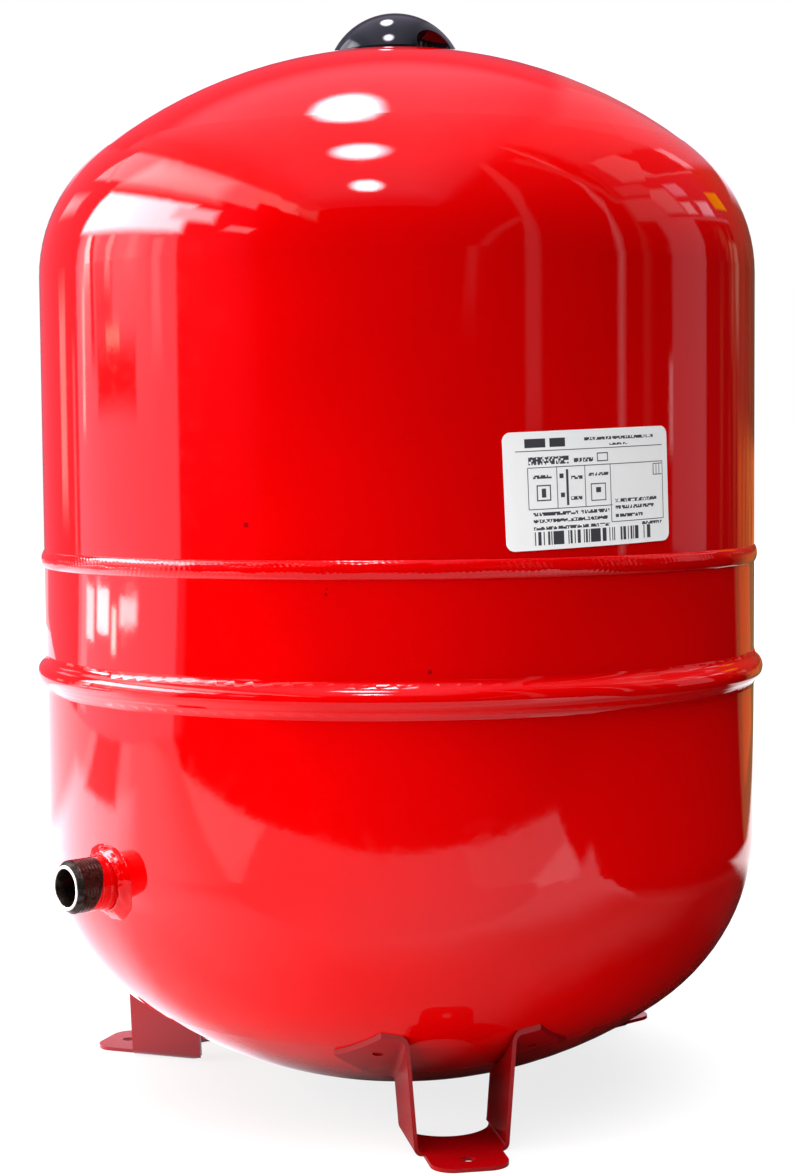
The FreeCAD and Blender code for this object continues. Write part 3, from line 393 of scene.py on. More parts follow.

# %% [markdown]
# ## Floor
#
# A pale floor carries the tank and throws light up under its dome. The camera sees it almost
# white, with the tank's soft shadow on it. For the paint's reflections the floor glows with painted
# light and shade, after what the real floor gave: a pale field that ends about a metre in front of
# the tank and nearer on its right, a greyer oval in front, a painted pool of window light on the
# left side, and a painted shadow under the tank itself. The patches are laid out in metres on the
# floor, turned with the camera.

# %% Floor
FLOOR_HALF = 6.0
RAGGED = 0.03  # how far the edges of the patches wander, in metres
DARK_FLOOR = (0.006, 0.004, 0.004, 1.0)
SHOWN_WHITE = 0.80  # how much of the floor that the camera sees is plain white
floor_mesh = bpy.data.meshes.new("floor")
floor_mesh.from_pydata([(x * FLOOR_HALF, y * FLOOR_HALF, 0.0)
                        for x, y in ((-1, -1), (1, -1), (1, 1), (-1, 1))], [], [(0, 1, 2, 3)])
floor = bpy.data.objects.new("floor", floor_mesh)
bpy.context.scene.collection.objects.link(floor)

floor_paint = bpy.data.materials.new("pale_floor")
floor_paint.use_nodes = True
ground = floor_paint.node_tree
ground.nodes.clear()
place_flat = add(ground, "ShaderNodeVectorRotate", {"rotation_type": "Z_AXIS"},
                 Vector=add(ground, "ShaderNodeTexCoord").outputs["Object"],
                 Angle=-CAMERA_AZIMUTH).outputs[0]
wobble = add(ground, "ShaderNodeTexNoise", Vector=place_flat, Scale=28.0, Detail=2.0)
place = vector(ground, "MULTIPLY_ADD", wobble.outputs["Color"], (RAGGED, RAGGED, 0.0),
               vector(ground, "SUBTRACT", place_flat, (RAGGED / 2, RAGGED / 2, 0.0)))
aside, behind, _rise = parts(ground, place)


def disc(x, y, width, depth, softness):
    """Mask of an ellipse on the floor, with its half axes in metres."""
    return oval_mask(ground, place, x, y, width, depth, softness)


def both(*masks):
    """Where all masks hold."""
    return total(ground, "MULTIPLY", *masks)


def patch(left_edge, right_edge, near, far, softness, slant=0.0):
    """Mask of a soft box on the floor."""
    return box_mask(ground, place, left_edge, right_edge, near, far, softness, slant)


edge_of_field = disc(0.0, 1.28, 2.31, 2.31, 0.010)
field = both(edge_of_field, patch(-9.0, 0.46, -9.0, -0.50, 0.04, -0.45))
near_field = both(patch(-9.0, 0.225, -9.0, -0.10, 0.03, -1.057), patch(-9.0, 9.0, -0.58, 9.0, 0.06))
bearing_place = joined(ground, calc(ground, "DIVIDE", behind, aside), aside)


def far_patch(left_edge, right_edge, nearest, farthest, softness):
    """Mask of a stretch of floor seen between two bearings, as the walls are laid out."""
    return box_mask(ground, bearing_place, left_edge, right_edge, nearest, farthest, softness)


FLOOR_PATCHES = [
    # mask, radiance; each is laid over those before it
    (far_patch(0.90, 3.0, 0.36, 9.0, 0.10), (0.20, 0.20, 0.08)),
    (far_patch(1.04, 1.80, 0.80, 9.0, 0.04), (0.85, 0.25, 0.07)),
    (field, (1.75, 1.68, 1.78)),
    (near_field, (1.05, 0.96, 1.04)),
    (patch(-9.0, 0.42, -0.16, 9.0, 0.04), (0.85, 0.80, 0.86)),
    (patch(-0.12, 0.42, -0.30, 0.50, 0.24), (0.42, 0.38, 0.40)),
    (patch(0.14, 0.44, -0.26, 0.50, 0.16), (0.18, 0.16, 0.14)),
    (patch(0.20, 0.58, 0.30, 9.0, 0.08), (1.6, 1.5, 1.5)),
    # the next three: a painted pool of window light on the left side of the floor
    (both(patch(-9.0, -0.28, -0.42, 9.0, 0.30), edge_of_field), (1.7, 1.6, 1.8)),
    (patch(-9.0, -0.03, -0.04, 0.60, 0.08), (2.2, 2.05, 2.3)),
    (patch(-1.25, -0.46, -0.06, 0.70, 0.24), (3.8, 3.6, 4.1)),
    (patch(-1.75, -1.18, 0.08, 0.48, 0.10), (0.5, 0.5, 0.6)),
    (far_patch(-2.0, 0.40, -9.0, -1.7, 0.05), (0.30, 0.27, 0.36)),
    (far_patch(-0.57, 0.34, -9.0, -1.7, 0.03), (1.3, 1.2, 1.5)),
    (far_patch(-0.52, -0.44, -9.0, -1.8, 0.03), (2.3, 2.1, 2.4)),
    (far_patch(-0.45, -0.36, -4.7, -3.0, 0.05), (9.0, 8.8, 9.0)),
    (far_patch(-0.32, -0.20, -4.9, -3.3, 0.04), (14.0, 13.5, 14.0)),
    (far_patch(-0.17, -0.13, -4.2, -2.9, 0.03), (12.0, 11.5, 11.0)),
    (far_patch(-0.10, 0.04, -4.6, -3.6, 0.05), (12.0, 11.6, 12.0)),
    (both(disc(-0.08, -1.00, 0.65, 0.67, 0.02), edge_of_field), (0.76, 0.70, 0.78)),
    (both(patch(0.30, 0.95, -1.20, -0.72, 0.04), edge_of_field, field), (0.92, 0.88, 0.93)),
    (both(patch(-0.60, -0.10, -1.00, -0.34, 0.34), edge_of_field), (0.66, 0.63, 0.70)),
    # the last three discs: painted shade round the tank, and a painted shadow right under it
    (disc(0.14, -0.07, 0.24, 0.20, 0.40), (0.34, 0.30, 0.30)),
    (disc(0.26, 0.16, 0.25, 0.28, 0.30), (0.03, 0.02, 0.02)),
    (disc(0.13, 0.0, 0.175, 0.175, 0.25), (0.012, 0.008, 0.008)),
]
# the floor's glow for glossy rays, with its painted light and shade
floor_light_and_shade = DARK_FLOOR
for mask, radiance in FLOOR_PATCHES:
    floor_light_and_shade = blend(ground, mask, floor_light_and_shade, (*radiance, 1.0))
reflected = add(ground, "ShaderNodeEmission", Color=floor_light_and_shade)

# the floor's colour for the light it throws back, painted with light and shade: brightest by the
# window, darker near the camera, and a painted shadow under the tank
painted_shade_under_tank = calc(ground, "MULTIPLY", disc(0.06, 0.05, 0.22, 0.22, 0.25), 0.94)
lit = both(ramp(ground, aside, 0.60, -0.20, 0.03, 0.95),
           ramp(ground, behind, -1.0, -0.35, 0.08, 1.0),
           calc(ground, "SUBTRACT", 1.0, painted_shade_under_tank))
matte = add(ground, "ShaderNodeBsdfDiffuse", Color=joined(ground, lit, lit, lit))
pale = add(ground, "ShaderNodeBsdfDiffuse", Color=(0.80, 0.80, 0.80, 1.0))
white = add(ground, "ShaderNodeEmission", Color=(1.0, 1.0, 1.0, 1.0))
shown = add(ground, "ShaderNodeMixShader", Fac=SHOWN_WHITE, i1=pale, i2=white)
rays = add(ground, "ShaderNodeLightPath")
by_camera = add(ground, "ShaderNodeMixShader", Fac=rays.outputs["Is Camera Ray"],
                i1=matte, i2=shown)
by_gloss = add(ground, "ShaderNodeMixShader", Fac=rays.outputs["Is Glossy Ray"],
               i1=by_camera, i2=reflected)
add(ground, "ShaderNodeOutputMaterial", Surface=by_gloss)
floor_mesh.materials.append(floor_paint)

# %% [markdown]
# ## Turning a profile into a closed ring
#
# A threaded pipe and a weld bead are the same kind of shape: a small outline carried round a
# circle, with something that repeats on the way, a thread's ridges or a weld's ripples. Geometry
# Nodes make both from one recipe. A flat grid is rolled up: its columns are the steps round the
# circle, its rows are the points of the outline, and Sample Index reads each outline point from the
# small mesh that the modifier sits on. An outline point holds a radius, a weight for the repeating
# detail, and a height. The grid has one column and one row more than it needs, which land on the
# first ones, and Merge by Distance closes the ring there.

# %% Helpers for Geometry Nodes
TURN = 2 * math.pi
MERGE_DISTANCE = 0.005 * MM


def rolled_grid(tree, source):
    """A grid for a ring; returns it, the angle of each point and the outline's three parts."""
    ring_in = source.outputs
    rows = add(tree, "GeometryNodeAttributeDomainSize", Geometry=ring_in["Geometry"]).outputs[0]
    steps = ring_in["Steps"]
    row_stride = calc(tree, "ADD", rows, 1.0)
    grid = add(tree, "GeometryNodeMeshGrid", Size_X=1.0, Size_Y=1.0,
               Vertices_X=calc(tree, "ADD", steps, 1.0), Vertices_Y=row_stride)
    index = add(tree, "GeometryNodeInputIndex")
    column = calc(tree, "FLOOR", calc(tree, "DIVIDE", calc(tree, "ADD", index, 0.5), row_stride))
    row = calc(tree, "SUBTRACT", index, calc(tree, "MULTIPLY", column, row_stride))
    point = calc(tree, "FLOORED_MODULO", row, rows)
    angle = calc(tree, "MULTIPLY", calc(tree, "DIVIDE", column, steps), TURN)
    profile = add(tree, "GeometryNodeSampleIndex", {"data_type": "FLOAT_VECTOR"},
                  Geometry=ring_in["Geometry"], Value=add(tree, "GeometryNodeInputPosition"),
                  Index=point).outputs[0]
    return grid, angle, parts(tree, profile)


def around(tree, radius, angle):
    """The two coordinates of a point at a radius and an angle."""
    return (calc(tree, "MULTIPLY", radius, calc(tree, "COSINE", angle)),
            calc(tree, "MULTIPLY", radius, calc(tree, "SINE", angle)))


def close_ring(tree, end, grid, position):
    """Place the grid, weld its seam, make it real and give it its material."""
    placed = add(tree, "GeometryNodeSetPosition", Geometry=grid, Position=position)
    merged = add(tree, "GeometryNodeMergeByDistance", Geometry=placed, Distance=MERGE_DISTANCE)
    real = add(tree, "GeometryNodeRealizeInstances", Geometry=merged)
    shaded = add(tree, "GeometryNodeSetMaterial", Geometry=real,
                 Material=tree.nodes["Group Input"].outputs["Material"])
    tree.links.new(shaded.outputs[0], end.inputs[0])


def ring_group(name, *extra):
    """A Geometry Nodes group with the inputs that every ring has, and its own."""
    tree, source, end = new_group(
        name,
        [("Geometry", "NodeSocketGeometry", None), ("Steps", "NodeSocketInt", 96),
         ("Material", "NodeSocketMaterial", None), *extra],
        [("Geometry", "NodeSocketGeometry", None)], "GeometryNodeTree")
    tree.is_modifier = True
    return tree, source, end


def outline_mesh(name, points):
    """A closed line of outline points (radius, weight, height) in millimetres."""
    mesh = bpy.data.meshes.new(name)
    count = len(points)
    mesh.from_pydata([(r * MM, weight, height * MM) for r, weight, height in points],
                     [(i, (i + 1) % count) for i in range(count)], [])
    return mesh


def grow(name, points, tree, body, replaced, **settings):
    """Run a ring group on an outline; the closed mesh takes a CAD node's place on a body."""
    seed = bpy.data.objects.new(name + "_outline", outline_mesh(name + "_outline", points))
    bpy.context.scene.collection.objects.link(seed)
    modifier = seed.modifiers.new("ring", "NODES")
    modifier.node_group = tree
    for item in tree.interface.items_tree:
        label = item.name.replace(" ", "_")
        if item.in_out == "INPUT" and label in settings:
            modifier[item.identifier] = settings[label]
    bpy.context.view_layer.update()
    evaluated = seed.evaluated_get(bpy.context.evaluated_depsgraph_get())
    mesh = bpy.data.meshes.new_from_object(evaluated)
    bpy.data.objects.remove(seed)
    skin = bmesh.new()
    skin.from_mesh(mesh)
    if skin.calc_volume(signed=True) < 0:
        bmesh.ops.reverse_faces(skin, faces=skin.faces)
    open_edges = sum(not edge.is_manifold for edge in skin.edges)
    skin.to_mesh(mesh)
    skin.free()
    mesh.name = name
    mesh.shade_smooth()
    piece = bpy.data.objects.new(name, mesh)
    bpy.context.scene.collection.objects.link(piece)
    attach(piece, body)
    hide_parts(replaced)
    print(name, "faces:", len(mesh.polygons), "open edges:", open_edges)


# %% [markdown]
# ## Threaded pipe
#
# The water connection is a steel pipe with a fine outside thread. Its ridges are low, dark with
# oil, and hardly show, but they break up the light along the top. The thread is a true helix: the
# radius dips with the distance along the pipe plus the turn round it, so one formula cuts every
# ridge. The weight is 1 on the thread and 0 on the smooth stub, the chamfer and the bore.

# %% The threaded pipe
PIPE_LOW, PIPE_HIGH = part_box("water_connection")
PIPE_AXIS = (PIPE_LOW.z + PIPE_HIGH.z) / 2
MOUTH = -PIPE_LOW.y / MM
STUB = (PIPE_HIGH.z - PIPE_LOW.z) / 2 / MM
THREAD, BORE, PITCH = STUB - 0.2, 9.3, 1.814
INNER_END = 186.6  # how far from the tank's axis the pipe begins, inside the shell
THREAD_END = MOUTH - 3.0
THREAD_START = THREAD_END - 15.0
FINE = 0.16  # step of the outline along the thread, fine enough to draw each ridge
PLAIN_ROWS = 14  # rows before the first ridge
FADE_IN, FADE_OUT = 10, 3  # rows over which the ridges rise and fall

thread_tree, ends_in, ends_out = ring_group(
    "threaded_pipe", ("Axis Height", FLOAT, 0.1), ("Pitch", FLOAT, 0.002), ("Depth", FLOAT, 0.0004))
grid, angle, (radius, weight, reach) = rolled_grid(thread_tree, ends_in)
turns = calc(thread_tree, "ADD", calc(thread_tree, "DIVIDE", reach, ends_in.outputs["Pitch"]),
             calc(thread_tree, "DIVIDE", angle, TURN))
groove = calc(thread_tree, "POWER", calc(thread_tree, "ABSOLUTE", calc(
    thread_tree, "SINE", calc(thread_tree, "MULTIPLY", turns, math.pi))), 1.6)
cut = total(thread_tree, "MULTIPLY", groove, weight, ends_in.outputs["Depth"])
pipe_x, pipe_z = around(thread_tree, calc(thread_tree, "SUBTRACT", radius, cut), angle)
close_ring(thread_tree, ends_out, grid, joined(
    thread_tree, pipe_x, calc(thread_tree, "MULTIPLY", reach, -1.0),
    calc(thread_tree, "ADD", pipe_z, ends_in.outputs["Axis Height"])))

ridge_rows = int((THREAD_END - THREAD_START - 0.4) / FINE)
pipe_outline = [(STUB, 0.0, INNER_END), (STUB, 0.0, THREAD_START - 1.2),
                (STUB - 0.05, 0.0, THREAD_START - 0.1), (THREAD, 0.0, THREAD_START + 0.1)]
for row in range(ridge_rows):
    share = min(1.0, (row - PLAIN_ROWS) / FADE_IN, (ridge_rows - row) / FADE_OUT)
    pipe_outline.append((THREAD, max(0.0, share), THREAD_START + 0.2 + row * FINE))
pipe_outline += [(THREAD - 0.1, 0.0, THREAD_END), (THREAD - 0.35, 0.0, THREAD_END + 0.25),
                 (THREAD - 2.35, 0.0, MOUTH - 0.2), (THREAD - 2.6, 0.0, MOUTH),
                 (BORE + 0.25, 0.0, MOUTH), (BORE, 0.0, MOUTH - 0.3), (BORE, 0.0, INNER_END)]

# %% [markdown]
# ## Weld bead round the girth
#
# The two shells are joined by one machine-laid bead. Such a bead is a low round band with fine
# ripples, each a frozen edge of the melt, bent back like a row of brackets. A whole number of them
# goes round the seam, or else the ring wouldn't close, and noise makes the band a little wider here
# and higher there.

# %% The girth weld
bead_tree, ends_in, ends_out = ring_group(
    "weld_bead", ("Height", FLOAT, 0.28), ("Ripples", FLOAT, 400.0),
    ("Ripple", FLOAT, 0.0001), ("Wander", FLOAT, 0.0004), ("Seed", FLOAT, 3.0))
grid, angle, (radius, weight, lift) = rolled_grid(bead_tree, ends_in)
unit_x, unit_y = around(bead_tree, 1.0, angle)
wander = add(bead_tree, "ShaderNodeTexNoise", {"noise_dimensions": "4D"},
             Vector=joined(bead_tree, unit_x, unit_y, calc(bead_tree, "MULTIPLY", lift, 40.0)),
             W=ends_in.outputs["Seed"], Scale=14.0, Detail=3.0).outputs[0]
drift = calc(bead_tree, "MULTIPLY", calc(bead_tree, "SUBTRACT", wander, 0.5),
             ends_in.outputs["Wander"])
back = calc(bead_tree, "MULTIPLY", calc(bead_tree, "ABSOLUTE", lift), 0.6)
leaned = calc(bead_tree, "ADD", angle, calc(bead_tree, "DIVIDE", back, radius))
ripple = calc(bead_tree, "SINE", calc(bead_tree, "MULTIPLY", leaned, ends_in.outputs["Ripples"]))
swell = total(bead_tree, "MULTIPLY", calc(bead_tree, "SUBTRACT", ripple, 1.0),
              ends_in.outputs["Ripple"], weight)
full = total(bead_tree, "ADD", radius, swell, total(
    bead_tree, "MULTIPLY", calc(bead_tree, "SUBTRACT", drift, calc(
        bead_tree, "MULTIPLY", ends_in.outputs["Wander"], 0.5)), weight))
bead_x, bead_y = around(bead_tree, full, angle)
close_ring(bead_tree, ends_out, grid, joined(bead_tree, bead_x, bead_y, total(
    bead_tree, "ADD", lift, ends_in.outputs["Height"], drift)))

SEAM_LOW, SEAM_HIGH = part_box("girth_weld")
SEAM_WANDER = 0.5
SEAM_HALF = (SEAM_HIGH.z - SEAM_LOW.z) / 2 / MM - SEAM_WANDER / 2
SEAM_RADIUS = 190.0  # the shell's outside, where the bead's edges meet it
SEAM_RISE = SEAM_HIGH.x / MM - SEAM_RADIUS
SEAM_STEPS = 16  # from the bead's lower edge to its upper edge
SEAM_BACK = SEAM_RADIUS - 0.4  # the bead's back lies a little way inside the shell
seam_outline = []
for step in range(SEAM_STEPS + 1):
    lean = math.radians(-90 + 180 * step / SEAM_STEPS)
    seam_outline.append((SEAM_RADIUS + SEAM_RISE * math.cos(lean) ** 1.3,
                         math.cos(lean) ** 0.6, SEAM_HALF * math.sin(lean)))
seam_outline += [(SEAM_BACK, 0.0, SEAM_HALF * share) for share in (0.9, 0.0, -0.9)]

# %% [markdown]
# ## Weld round the water connection
#
# This fillet was laid by hand, in short runs with a lump at the top where it started and ended. It
# has to follow the curve on which the pipe leaves the shell, which no simple formula gives, so the
# tree casts a ray from outside onto the shell for each point and lays the bead on what it hits.
# Noise with a coarse step, smoothed little, gives the faceted surface of thick weld under paint.

# %% The connection weld
fillet_tree, ends_in, ends_out = ring_group(
    "hand_weld", ("Shell", "NodeSocketObject", None), ("Axis Height", FLOAT, 0.1),
    ("Pipe Radius", FLOAT, 0.013), ("Leg", FLOAT, 0.007), ("Rise", FLOAT, 0.0045),
    ("Lumps", FLOAT, 0.3), ("Seed", FLOAT, 5.0))
grid, angle, (leg_share, weight, rise_share) = rolled_grid(fillet_tree, ends_in)
leg_share = calc(fillet_tree, "DIVIDE", leg_share, MM)
rise_share = calc(fillet_tree, "DIVIDE", rise_share, MM)
unit_x, unit_z = around(fillet_tree, 1.0, angle)
PROBE_RADIUS = 14.2 * MM  # rays keep this far from the pipe's axis, clear of the shell's port
PROBE_FROM, PROBE_LENGTH = -0.25, 0.2


def lumps(scale, offset):
    """Noise from -0.5 to 0.5 round the pipe and across the bead."""
    noise = add(fillet_tree, "ShaderNodeTexNoise", {"noise_dimensions": "4D"},
                Vector=joined(fillet_tree, unit_x, unit_z, leg_share),
                W=calc(fillet_tree, "ADD", ends_in.outputs["Seed"], offset), Scale=scale,
                Detail=1.0).outputs[0]
    return calc(fillet_tree, "SUBTRACT", noise, 0.5)


leg = calc(fillet_tree, "MULTIPLY", ends_in.outputs["Leg"], calc(
    fillet_tree, "ADD", 0.92, calc(fillet_tree, "MULTIPLY", lumps(1.6, 0.0),
                                   ends_in.outputs["Lumps"])))
span = calc(fillet_tree, "ADD", ends_in.outputs["Pipe Radius"],
            calc(fillet_tree, "MULTIPLY", leg, leg_share))
fillet_x, fillet_z = around(fillet_tree, span, angle)
probe_x, probe_z = around(fillet_tree, calc(fillet_tree, "MAXIMUM", span, PROBE_RADIUS), angle)
shell_now = add(fillet_tree, "GeometryNodeObjectInfo", {"transform_space": "ORIGINAL"},
                Object=ends_in.outputs["Shell"]).outputs["Geometry"]
hit = add(fillet_tree, "GeometryNodeRaycast", Target_Geometry=shell_now,
          Source_Position=joined(fillet_tree, probe_x, PROBE_FROM, calc(
              fillet_tree, "ADD", probe_z, ends_in.outputs["Axis Height"])),
          Ray_Direction=(0.0, 1.0, 0.0), Ray_Length=PROBE_LENGTH)
ground_y = parts(fillet_tree, hit.outputs["Hit Position"])[1]
heap = calc(fillet_tree, "ADD", 0.86, total(
    fillet_tree, "MULTIPLY", calc(fillet_tree, "MULTIPLY_ADD", lumps(6.0, 3.0), 0.3,
                                  lumps(2.2, 7.0)),
    ends_in.outputs["Lumps"], weight))
above = total(fillet_tree, "MULTIPLY", rise_share, ends_in.outputs["Rise"],
              calc(fillet_tree, "MINIMUM", heap, 1.0))
close_ring(fillet_tree, ends_out, grid, joined(
    fillet_tree, fillet_x, calc(fillet_tree, "MAXIMUM", calc(
        fillet_tree, "SUBTRACT", ground_y, above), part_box("connection_weld")[0].y),
    calc(fillet_tree, "ADD", fillet_z, ends_in.outputs["Axis Height"])))

# shares of the leg and the rise, from the pipe's side out to the shell, and then the back
FILLET_CURVE = ((0.0, 1.0), (0.10, 1.0), (0.22, 0.93), (0.34, 0.82), (0.46, 0.68), (0.58, 0.52),
                (0.70, 0.35), (0.81, 0.19), (0.91, 0.06), (1.0, -0.05))
fillet_outline = [(share, min(1.0, 4 * share, 6 * (1 - share)), rise)
                  for share, rise in FILLET_CURVE]
fillet_outline += [(0.9, 0.0, -0.12), (0.5, 0.0, -0.12), (0.05, 0.0, -0.12)]

# %% [markdown]
# ## Orange peel
#
# Sprayed gloss paint is never a perfect mirror. Droplets dry into a fine skin like the peel of an
# orange, and the rolled sheet under it waves a little over some centimetres. Both only bend the
# reflections, so they are heights for a bump and need no geometry. Every painted piece uses the
# group with its own amounts.

# %% Orange peel group
orange_peel, ends_in, ends_out = new_group(
    "orange_peel",
    [("Position", VECTOR, None), ("Peel Scale", FLOAT, 420.0), ("Peel", FLOAT, 1.0),
     ("Wave Scale", FLOAT, 22.0), ("Wave", FLOAT, 1.0)],
    [("Height", FLOAT, None)])
peel = add(orange_peel, "ShaderNodeTexNoise", Vector=ends_in.outputs["Position"],
           Scale=ends_in.outputs["Peel Scale"], Detail=1.0)
wave = add(orange_peel, "ShaderNodeTexNoise", Vector=ends_in.outputs["Position"],
           Scale=ends_in.outputs["Wave Scale"], Detail=1.0)
orange_peel.links.new(calc(
    orange_peel, "ADD", calc(orange_peel, "MULTIPLY", peel, ends_in.outputs["Peel"]),
    calc(orange_peel, "MULTIPLY", wave, ends_in.outputs["Wave"])), ends_out.inputs["Height"])


def new_material(name):
    """A material with a Principled BSDF; returns it, its tree, the shader and the position."""
    material = bpy.data.materials.new(name)
    material.use_nodes = True
    tree = material.node_tree
    tree.nodes.clear()
    shader = add(tree, "ShaderNodeBsdfPrincipled")
    add(tree, "ShaderNodeOutputMaterial", Surface=shader)
    return material, tree, shader, add(tree, "ShaderNodeTexCoord").outputs["Object"]


def dress(material, *names):
    """Give CAD nodes a material."""
    for name in names:
        slots = NODES[name].data.materials
        slots.clear()
        slots.append(material)


# %% [markdown]
# ## Gloss red paint
#
# The shells are a strong, slightly orange red under a hard gloss. A Principled BSDF with a low
# roughness gives it. The colour wanders by a few percent over the sheet, where the coat is thicker
# or thinner, and the orange peel bends the reflections. A few small chips show that it has been
# handled: each is dark within a given distance of its place.

# %% Gloss red paint
RED = (0.59, 0.0001, 0.0005, 1.0)
DEEP_RED = (0.53, 0.0001, 0.0004, 1.0)
CHIP_RED = (0.26, 0.001, 0.002, 1.0)
SATIN = ((0.30, 0.0002, 0.0015, 1.0), (0.26, 0.0002, 0.0015, 1.0))


def red_paint(name, roughness, peel_amount, wave_amount, colours=(RED, DEEP_RED)):
    """Red paint of a given gloss; returns the material, its tree, shader and position."""
    material, tree, shader, position = new_material(name)
    patches = add(tree, "ShaderNodeTexNoise", Vector=position, Scale=9.0, Detail=2.0)
    plug(tree, shader, "Base Color", blend(tree, ramp(tree, patches, 0.35, 0.75), *colours))
    dust = add(tree, "ShaderNodeTexNoise", Vector=position, Scale=130.0, Detail=3.0)
    plug(tree, shader, "Roughness",
         ramp(tree, dust.outputs[0], 0.45, 0.75, roughness, roughness + 0.04))
    height = use_group(tree, orange_peel, Position=position, Peel=peel_amount, Wave=wave_amount)
    plug(tree, shader, "Normal",
         add(tree, "ShaderNodeBump", Height=height, Strength=1.0, Distance=0.1 * MM))
    return material, tree, shader, position


CHIPS = [
    # place in millimetres and radius of a small chip in the paint
    ((88.7, -168.0, 304.3), 1.5), ((120.6, -146.8, 272.5), 0.9), ((120.9, -146.6, 275.0), 0.7),
    ((153.1, -112.5, 236.8), 1.3), ((-38.0, -118.0, 508.0), 0.8), ((172.0, 62.0, 470.0), 0.9),
]
gloss_red, tree, shader, position = red_paint("gloss_red", 0.035, 0.035, 0.55)
chipped = total(tree, "MAXIMUM", *(
    ramp(tree, vector(tree, "DISTANCE", position, tuple(MM * side for side in spot), output=1),
         size * MM, 0.6 * size * MM) for spot, size in CHIPS))
painted = shader.inputs["Base Color"].links[0].from_socket
plug(tree, shader, "Base Color", blend(tree, chipped, painted, CHIP_RED))
dress(gloss_red, "upper_shell", "lower_shell", "valve_boss", "boss_weld", "girth_weld",
      "connection_weld")
grow("girth_weld_bead", seam_outline, bead_tree, "tank", "girth_weld", Steps=1600,
     Material=gloss_red, Height=(SEAM_LOW.z + SEAM_HIGH.z) / 2, Ripples=385.0,
     Ripple=0.06 * MM, Wander=SEAM_WANDER * MM, Seed=3.0)
grow("connection_weld_bead", fillet_outline, fillet_tree, "tank", "connection_weld", Steps=120,
     Material=gloss_red, Shell=NODES["lower_shell"], Axis_Height=PIPE_AXIS,
     Pipe_Radius=(STUB - 0.05) * MM, Leg=6.8 * MM, Rise=4.5 * MM, Lumps=0.9, Seed=5.0)
satin_red, _tree, satin_shader, _position = red_paint("satin_red", 0.22, 0.08, 0.3, SATIN)
satin_shader.inputs["Specular IOR Level"].default_value = 0.38
dress(satin_red, "foot_right", "foot_rear", "foot_left", "foot_welds")

# %% [markdown]
# ## Plastic, rubber and metals
#
# The small pieces need plain finishes with a little life in them.

# %% Other finishes


def plain_finish(name, colour, roughness, metallic=0.0, grain=300.0, bump=0.0):
    """A plain finish with slight cloudiness in its colour and roughness."""
    material, tree, shader, position = new_material(name)
    cloud = add(tree, "ShaderNodeTexNoise", Vector=position, Scale=grain, Detail=3.0)
    darker = tuple(channel * 0.8 for channel in colour[:3]) + (1.0,)
    plug(tree, shader, "Base Color", blend(tree, cloud.outputs[0], colour, darker))
    plug(tree, shader, "Roughness",
         ramp(tree, cloud.outputs[0], 0.3, 0.7, roughness * 0.8, roughness * 1.2))
    shader.inputs["Metallic"].default_value = metallic
    if bump:
        plug(tree, shader, "Normal",
             add(tree, "ShaderNodeBump", Height=cloud.outputs[0], Strength=1.0, Distance=bump))
    return material


black_cap = plain_finish("black_cap_plastic", (0.007, 0.009, 0.013, 1.0), 0.07)
dress(black_cap, "valve_cap")
rubber = plain_finish("black_rubber", (0.02, 0.02, 0.02, 1.0), 0.65, 0.0, 500.0, 0.1 * MM)
dress(rubber, "diaphragm", "valve_gasket", "core_seal", "poppet_seal")
brass = plain_finish("turned_brass", (0.72, 0.50, 0.20, 1.0), 0.25, 1.0, 900.0, 0.02 * MM)
dress(brass, "valve_body", "core_housing")
steel = plain_finish("plain_steel", (0.42, 0.41, 0.40, 1.0), 0.35, 1.0, 400.0, 0.03 * MM)
dress(steel, "clamp_ring", "core_spring", "core_pin", "water_connection")

# %% [markdown]
# ## The core spring
#
# Inside the gas valve the pin's collar rests on a small spring. When the pin is pressed, the spring
# gets shorter by the pin's travel. A CAD node can't do that. A copy of it stands in for the CAD
# node, on the tank's body and with a mesh of its own, but nothing here squashes it.

# %% The core spring
spring_mesh = NODES["core_spring"].data.copy()
spring_mesh.transform(NODES["core_spring"].matrix_world)
spring = bpy.data.objects.new("core_coil", spring_mesh)
bpy.context.scene.collection.objects.link(spring)
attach(spring, "tank")
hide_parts("core_spring")
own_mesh(spring)

# %% [markdown]
# ## Bare and painted pipe
#
# The tank was sprayed with its pipe capped, so the paint ends in a slanted line across the thread,
# and beyond it is bare steel, dark with rust and oil. The ring at the mouth was faced last and is
# bright. One material holds all three, and chooses by where a point lies along the pipe.

# %% Pipe material
OILY_STEEL, RUST = (0.060, 0.046, 0.038, 1.0), (0.022, 0.012, 0.008, 1.0)
FACED_STEEL = (0.85, 0.82, 0.76, 1.0)
PAINT_SLANT = -0.25
pipe_skin, tree, shader, position = red_paint("pipe_skin", 0.05, 0.1, 0.4)
spot = parts(tree, position)
noise = add(tree, "ShaderNodeTexNoise", Vector=position, Scale=420.0, Detail=3.0).outputs[0]
slanted = total(tree, "ADD", spot[1],
                calc(tree, "MULTIPLY", calc(tree, "SUBTRACT", spot[2], PIPE_AXIS), PAINT_SLANT),
                calc(tree, "MULTIPLY", calc(tree, "SUBTRACT", noise, 0.5), 1.2 * MM))
bare = ramp(tree, slanted, -(THREAD_START + 4.6) * MM, -(THREAD_START + 5.4) * MM)
face = ramp(tree, spot[1], -(MOUTH - 0.45) * MM, -(MOUTH - 0.2) * MM)
wide = vector(tree, "LENGTH", joined(
    tree, spot[0], 0.0, calc(tree, "SUBTRACT", spot[2], PIPE_AXIS)), output=1)
face = calc(tree, "MULTIPLY", face, ramp(tree, wide, (BORE - 0.1) * MM, (BORE + 0.1) * MM))
metal = blend(tree, ramp(tree, noise, 0.4, 0.65), OILY_STEEL, RUST)
